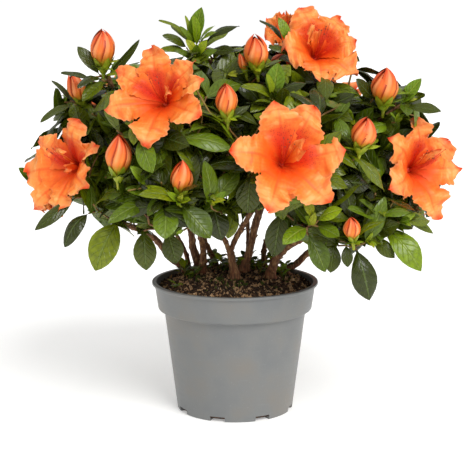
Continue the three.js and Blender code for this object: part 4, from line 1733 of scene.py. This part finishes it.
@dataclass
class Crown:
    """Twigs, leaves, blooms and buds in place of the masses of foliage."""

    woodwork: Woodwork
    layers: tuple[Point, ...] = ((13, 17, 7), (29, 19, 18), (46, 21, 40))  # depth, spacing, slack
    extra: int = 14  # buds away from the front
    leaf_length: tuple[float, float] = (25, 36)
    slack: float = 4.0  # how far leaves may stand out of the masses,
    tip_share: float = 0.4  # of whose drawn-out tips this much counts
    ceiling: Pairs = (
        (-160, 212), (-130, 236), (-95, 243), (-62, 254), (-20, 257), (12, 261), (62, 262), (90, 251),
        (135, 230), (165, 212),
    )  # where the plain leaves end, under the shoots, blooms and buds that stand out
    underside: Pairs = (
        (-150, 160), (-121, 150), (-100, 147), (-82, 141), (-60, 136), (-40, 131), (10, 134), (31, 130),
        (45, 126), (66, 120), (86, 120), (107, 130), (128, 140), (150, 150),
    )  # where they end below, 40 mm in front of the axis
    rosettes: tuple[tuple[Point, Point], ...] = (
        ((50, -72, 147), (0.1, -0.8, 0.4)), ((101, -46, 146), (0.4, -0.7, 0.35)),
        ((70, -56, 226), (0.15, -0.6, 0.8)), ((-47, -76, 168), (-0.1, -0.8, 0.45)),
        ((118, -22, 224), (0.45, -0.3, 0.8)),
    )
    pot_reach: float = 64  # over the pot, nearer to the axis than this,
    pot_clear: float = 122  # no leaf hangs lower
    sprigs: int = 30  # small shoots on the soil
    broad: float = 12  # the least width of a named leaf that no other leaf may hide
    gaps: tuple[Point, ...] = ((-96, 222, 4), (79, 236, 9), (-5, 244, 3))  # sky seen at x, z
    tables: dict[Green, DealTable] = field(default_factory=lambda: {g: DealTable() for g in Green})
    clear: list[KeepClear] = field(default_factory=list)
    stalks: list[Array] = field(default_factory=list)

    def in_outline(self, point: Array) -> bool:
        """True where a plain leaf may end: what lies further back may hang lower."""
        x, y, z = point
        low = np.interp(x, *zip(*self.underside)) - 0.18 * (y + 40)
        if hypot(x, y) < self.pot_reach:
            low = max(low, self.pot_clear)
        return bool(low < z < np.interp(x, *zip(*self.ceiling)))

    def reserve(self, blooms: Sequence[Bloom], buds: Sequence[Bud], seen: bool) -> None:
        """Keeps the space in front of blooms and buds clear, and the view of them where it is seen."""
        for bloom in blooms:
            centre, axis, depth = bloom.centre, bloom.axis, bloom.depth
            reach = max(lobe.reach for lobe in bloom.lobes)
            self.keep(centre, axis, reach * 0.95, 7, 60)
            self.keep(centre, axis, reach * 0.55, depth * 0.65, 60)
            self.keep(centre - axis * depth, axis, 13, 4, depth)
            if seen:
                self.keep_view(centre, reach * 0.8, 0, 70)
        for bud in buds:
            centre = (bud.base + bud.tip) / 2
            reach = norm(bud.tip - bud.base) / 2
            self.keep(centre, bud.axis, bud.radius * 1.15, reach * 0.6, reach + 2)
            if seen:
                self.keep_view(centre, bud.radius * 1.3, 0, 60)

    def keep(self, centre: Array, axis: Array, radius: float, back: float, front: float) -> None:
        """Keeps a round space clear of leaves."""
        self.clear.append(KeepClear(centre, axis, radius, back, front))

    def keep_view(self, centre: Array, radius: float, back: float, front: float) -> None:
        """Keeps the view of a place from the front clear of leaves."""
        self.keep(centre, unit(FRONT_EYE - centre), radius, back, front)

    def show(self, blades: Sequence[Blade]) -> None:
        """Keeps the view of the broad named leaves free of other leaves."""
        for blade in blades:
            run = blade.tip - blade.base
            if blade.width >= self.broad:
                self.keep_view(blade.base + run * 0.6, norm(run) * 0.32, 2, 50)

    def is_clear(self, points: Array) -> bool:
        """True if none of the points is in a space that is kept clear."""
        return not any(space.holds(points) for space in self.clear)

    def spread(self, inset: float, spacing: float, loose: float, rng: Generator) -> list[Shoot]:
        """Shoots over the masses, a set depth in and no closer than a spacing.

        Args:
            inset: How deep under the masses' surface they end.
            spacing: The least distance between them.
            loose: How much deeper in the whole crown they may lie.
            rng: The draw for their order and lean.

        Returns:
            The shoots.
        """
        found: list[tuple[Array, Array]] = []
        for mass in MASSES.values():
            centre, half = mass.centre, mass.half
            turns = arange(260) * GOLDEN_TURN + rng.uniform(0, 6)
            z = 1 - 2 * (arange(260) + 0.5) / 260
            flat = np.sqrt(1 - z * z)
            directions = np.stack([flat * np.cos(turns), flat * np.sin(turns), z], axis=1)
            surface = directions * half * mass.reach(directions)[:, None]
            normals = directions / half
            normals /= norm(normals, axis=1)[:, None]
            deep = norm(surface, axis=1)
            inner = surface * np.maximum(0.25, 1 - inset / deep)[:, None]
            found += zip(inner + centre, normals)
        rng.shuffle(found)
        depth = outside_crown(array([point for point, _ in found]))
        kept: list[Shoot] = []
        for (point, normal), deep in zip(found, depth):
            near = array([s.at for s in kept]).reshape(-1, 3)
            close = len(near) and np.min(norm(near - point, axis=1)) < spacing
            hollow = point[2] < self.pot_clear + 6 and hypot(point[0], point[1]) < self.pot_reach + 2
            if deep < -inset - loose or close or hollow or not self.is_clear(point[None]):
                continue
            if self.in_outline(point - UP * 5) and self.in_outline(point + UP * 7):
                lift = 0.55 if normal[2] > -0.2 else 0.25
                along = unit(normal * (1, 1, 0.55) + UP * lift + rng.normal(0, 0.16, 3))
                kept.append(Shoot(point, along))
        return kept

    def leaf(
        self, at: Array, along: Array, face: Array, length: float, width: float, green: Green, pattern: int,
    ) -> None:
        """Deals a leaf, unless it would stand in a bloom or out of the crown's outline."""
        tip = at + along * length
        middle = at + along * length * 0.55
        side = np.cross(along, face) * width / 2
        points = array([tip, middle, middle + side, middle - side])
        outside = outside_crown(tip[None], self.tip_share)[0]
        if outside <= self.slack and self.in_outline(tip) and self.is_clear(points):
            self.tables[green].add(at, along, face, length, width, pattern)

    def dress_shoot(self, shoot: Shoot, number: int) -> None:
        """Grows a shoot's leaves: a whorl round its tip and a few below it."""
        rng = default_rng(SEED * 1000 + number)
        turn = rng.uniform(0, 6.28)
        tint = rng.integers(0, 8)
        for i in range(shoot.leaves):
            whorl = i < 6
            turn += pi / 3 * 1.02 + rng.normal(0, 0.22) if whorl else GOLDEN_TURN
            back = rng.uniform(0, 2) if whorl else 3 + 4.2 * (i - 5) + rng.uniform(-1, 1)
            open_ = radians(rng.uniform(48, 78) if whorl else rng.uniform(68, 98))
            along = shoot.along * cos(open_) + shoot.spoke(turn) * sin(open_)
            along = unit(along - UP * rng.uniform(0, 0.22))
            face = across(along, shoot.along * 0.9 + UP * 0.55 + rng.normal(0, 0.12, 3))
            length = shoot.length * (rng.uniform(0.82, 1.12) * (1.0 if whorl else 0.95))
            width = length * rng.uniform(0.38, 0.47)
            pattern = (tint + (rng.integers(0, 3) if i else 0)) % 8
            self.leaf(shoot.at - shoot.along * back, along, face, length, width, shoot.green, pattern)

    def tip_leaves(self, shoot: Shoot, number: int, count: int) -> None:
        """Adds the small bright leaves at the very tip of a growing shoot."""
        rng = default_rng(SEED * 2000 + number)
        for i in range(count):
            out = shoot.spoke(i * 1.7 + rng.uniform(-0.3, 0.3))
            open_ = radians(rng.uniform(12, 34) + 4 * i)
            along = unit(shoot.along * cos(open_) + out * sin(open_))
            length = rng.uniform(8, 15)
            face = across(along, shoot.along - out)
            at = shoot.at - shoot.along
            self.leaf(at, along, face, length, length * 0.34, YOUNG, rng.integers(0, 8))

    def extra_buds(self, outer: list[Shoot], blooms: Sequence[Bloom]) -> list[Bud]:
        """Buds on some of the shoots away from the front, which keep their leaves."""
        taken = [b.centre for b in blooms]
        fit = [
            s for s in outer
            if s.along[2] >= 0.25 and s.at[1] >= 28 and s.at[2] <= 240 and abs(s.at[0]) <= 122
        ]
        made = []
        for i in range(self.extra):
            shoot = fit[int(np.argmax([min(norm(s.at - t) for t in taken) for s in fit]))]
            rng = default_rng(SEED + 1300 + i)
            axis = unit(shoot.along + UP * 0.5)
            base = shoot.at + axis * 2
            made.append(Bud(base, base + axis * rng.uniform(16, 24), rng.uniform(5, 8.5)))
            taken.append(base)
        return made

    def build(self) -> None:
        """Grows the wood, then deals out leaves, blooms and buds."""
        rng = default_rng(SEED)
        self.reserve(BLOOMS, BUDS, True)
        self.show(BLADES)
        for x, z, radius in self.gaps:
            self.keep_view(array([x, 0, z], float), radius, 400, 400)
        fixed = [Shoot(m.centre, unit(m.centre - (0, 0, 60)), arrive=0.5) for m in MASSES.values()]
        named = [Shoot(b.foot, b.axis) for b in BLOOMS]
        named += [Shoot(b.base - b.axis * 5, b.axis) for b in BUDS]
        named += [Shoot(b.base, unit(b.tip - b.base), arrive=0.35) for b in BLADES]
        blooms = [*BLOOMS, *BLOOMS_BEHIND]
        self.reserve(BLOOMS_BEHIND, [], False)
        outer = self.spread(*self.layers[0], rng)
        behind = self.extra_buds(outer, blooms)
        self.reserve([], behind, False)
        buds = [*BUDS, *behind]
        outer = [s for s in outer if self.is_clear(s.at[None])]
        inner = [shoot for layer in self.layers[1:] for shoot in self.spread(*layer, rng)]
        for shoot in outer:
            shoot.leaves = rng.integers(9, 12)
            shoot.length = rng.uniform(*self.leaf_length)
            shoot.green = FRESH if rng.random() < 0.3 else MATURE
        for shoot in inner:
            shoot.leaves = 9
            shoot.length = rng.uniform(27, 36)
        ruffs = [Shoot(b.foot + b.axis * 4, b.axis, 9, 29) for b in blooms]
        ruffs += [Shoot(b.base - b.axis * 3, b.axis, 6, 24) for b in buds]
        hearts = [Shoot(array(at, float), unit(way), 9, 24, FRESH) for at, way in self.rosettes]
        named += [*(Shoot(b.foot, b.axis) for b in BLOOMS_BEHIND), *hearts]
        log.info("%d outer and %d inner shoots", len(outer), len(inner))

        for number, shoot in enumerate([*outer, *inner, *ruffs, *hearts]):
            self.dress_shoot(shoot, number)
        for number, shoot in enumerate([*hearts, *outer]):
            if number < len(hearts) or number % 3 == 0:
                self.tip_leaves(shoot, number, 7 if number < len(hearts) else 4)
        self.named_leaves()
        self.undergrowth()
        self.bracts(buds)
        self.wood([*fixed, *self.by_distance([*named, *outer, *inner])])
        self.flowers(blooms, buds)
        self.foliage()

    def by_distance(self, shoots: list[Shoot]) -> list[Shoot]:
        """Shoots in the order in which they are reached from the middle of the plant."""
        middle = array([0, 0, 130])
        return sorted(shoots, key=lambda s: norm(s.at - middle))

    def named_leaves(self) -> None:
        """Deals the leaves that have a place of their own."""
        for i, blade in enumerate(BLADES):
            base = blade.base
            run = blade.tip - base
            length = float(norm(run))
            along = run / length
            face = across(along, array([0.0, -0.75, 0.66]))
            roll = radians(blade.roll)
            face = face * cos(roll) + np.cross(along, face) * sin(roll)
            self.tables[blade.green].add(base, along, face, length, blade.width, (i * 3) % 8)

    def undergrowth(self) -> None:
        """Small green shoots that come up from the soil between the stems."""
        rng = default_rng(SEED + 77)
        for i in range(self.sprigs):
            x = 42 * (2 * (i * 0.618 % 1) - 1)
            y = (6 + 40 * (i * 0.414 % 1)) * sqrt(1 - (x / 56) ** 2) - (16 if i % 6 == 0 else 0)
            foot = array([x, y, float(self.woodwork.soil.height(x, y))])
            tall = rng.uniform(2, 4) if y < 4 else rng.uniform(3, 8) + 0.14 * y
            way = unit([rng.normal(0, 0.25), rng.normal(0, 0.25), 1])
            self.stalks.append(foot + way * linspace(-2, tall, 5)[:, None])
            for k in range(5):
                at = foot + way * tall * (0.3 + 0.7 * k / 4)
                turn = k * GOLDEN_TURN + i
                along = unit([cos(turn), sin(turn), rng.uniform(0, 0.9)])
                face = across(along, UP + rng.normal(0, 0.2, 3))
                length = rng.uniform(6, 11)
                green = (MATURE, FRESH, YOUNG)[int(rng.choice(3, p=(0.15, 0.5, 0.35)))]
                self.tables[green].add(at, along, face, length, length * 0.5, rng.integers(0, 8))

    def bracts(self, buds: Sequence[Bud]) -> None:
        """Narrow young leaves that stand round the foot of each bud."""
        rng = default_rng(SEED + 78)
        for bud in buds:
            for k in range(6):
                out = spoke(bud.axis, UP + 0.3, k * pi / 3 + rng.uniform(-0.3, 0.3))
                open_ = rng.uniform(0.9, 1.5)
                along = bud.axis * cos(open_) + out * sin(open_)
                at = bud.base - bud.axis * rng.uniform(1, 3)
                length = rng.uniform(1.1, 1.9) * bud.radius
                table = self.tables[YOUNG if k % 3 else FRESH]
                face = across(along, bud.axis)
                table.add(at, along, face, length, length * 0.36, rng.integers(0, 8))

    def wood(self, shoots: list[Shoot]) -> None:
        """Grows the twigs and builds them as two pieces, woody and young."""
        skeleton = Skeleton(self.woodwork)
        for shoot in shoots:
            skeleton.grow(shoot)
        radii = skeleton.radii()
        points = array(skeleton.points)
        pieces = {"twigs_woody": MeshBin(), "twigs_young": MeshBin()}
        for twig in skeleton.twigs:
            thick = radii[twig].copy()
            thick[0] = min(thick[0], thick[1] * 1.2)
            kind = "twigs_woody" if thick[0] > 0.95 else "twigs_young"
            sweep(pieces[kind], points[twig], thick)
        for stalk in self.stalks:
            sweep(pieces["twigs_young"], stalk, np.full(len(stalk), 0.4))
        for name, finish in (("twigs_woody", BARK), ("twigs_young", YOUNG_WOOD)):
            settle(name, pieces[name].mesh(name), finish, list(MASSES))

    def flowers(self, blooms: Sequence[Bloom], buds: Sequence[Bud]) -> None:
        """Builds the blossom's pieces."""
        blossom = Blossom()
        for bloom in blooms:
            blossom.bloom(bloom)
        for number, bud in enumerate(buds):
            blossom.bud(bud, number)
        for name, bin_, finish, mapped in (
            ("bloom_petals", blossom.petals, PetalSilk("azalea petal"), True),
            ("bud_petals", blossom.bud_petals, BudSilk("furled azalea petal"), True),
            ("sepals_and_stalks", blossom.sepals, SEPAL, False),
            ("filaments", blossom.filaments, FILAMENT, False),
            ("anthers", blossom.anthers, ANTHER, False),
        ):
            settle(name, bin_.mesh(name, mapped), finish, list(MASSES))

    def foliage(self) -> None:
        """Deals the leaves out as one piece of each kind."""
        tree = dealing_tree()
        for green, table in self.tables.items():
            name, finish = green.name.lower() + "_leaves", green.value
            leaves = [LeafPattern(i, finish.columns, finish.rows, *row) for i, row in enumerate(SHAPES)]
            patterns = pattern_set(name, [leaf.mesh() for leaf in leaves])
            mesh = table.dealt(name, tree, patterns, finish)
            mesh.shade_smooth()
            settle(name, mesh, finish, list(MASSES))


# ---- Studio ----


@dataclass
class Studio:
    """White paper under a bright white sky, a broad key light and the camera."""

    paper_half: float = 6000
    sky_seen: float = 1.02
    sky_given: float = 0.65
    key_power: float = 2.25
    key_angle: float = 34
    key_from: Point = (0.40, -0.72, 0.72)
    camera_pitch: float = 10
    lens: float = 104.63

    def sky(self) -> bpy.types.World:
        """A world that looks whiter than the light it gives, so that shadows keep some depth."""
        world = bpy.data.worlds.new("studio")
        world.use_nodes = True
        tree = world.node_tree
        seen = add_node(tree, "ShaderNodeLightPath", out="Is Camera Ray")
        ends = (seen, self.sky_seen - self.sky_given, self.sky_given)
        strength = add_node(tree, MATH, ends, **TIMES_PLUS)
        background = tree.nodes["Background"]
        background.inputs["Color"].default_value = (1, 1, 1, 1)
        tree.links.new(strength, background.inputs["Strength"])
        return world

    def build(self) -> None:
        """Puts up the paper, the light, the sky and the camera."""
        scene = bpy.context.scene
        half = self.paper_half
        corners = array([(-half, -half, 0), (half, -half, 0), (half, half, 0), (-half, half, 0)], float)
        sheet = one_mesh("studio_paper", corners, array([(0, 1, 2, 3)]))
        put("studio_paper", dress(sheet, Paper("studio paper")))
        scene.world = self.sky()
        lamp = bpy.data.lights.new("key", "SUN")
        lamp.energy, lamp.angle = self.key_power, radians(self.key_angle)
        light = put("key", lamp)
        light.rotation_euler = (-Vector(self.key_from)).to_track_quat("-Z", "Y").to_euler()
        eye = bpy.data.cameras.new("front")
        eye.lens, eye.sensor_width = self.lens, 36
        camera = put("front", eye)
        camera.location = Vector(FRONT_EYE) * METRES
        camera.rotation_euler = (radians(90 - self.camera_pitch), 0, 0)
        scene.camera = camera
        scene.view_settings.view_transform = "Standard"


def main() -> None:
    """Builds the plant in order."""
    logging.basicConfig(level=logging.INFO, format="%(name)s %(message)s")
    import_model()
    Studio().build()
    Pot().build()
    soil = Soil()
    soil.build()
    woodwork = Woodwork(soil)
    woodwork.build()
    Crown(woodwork).build()


if __name__ == "__main__":
    main()
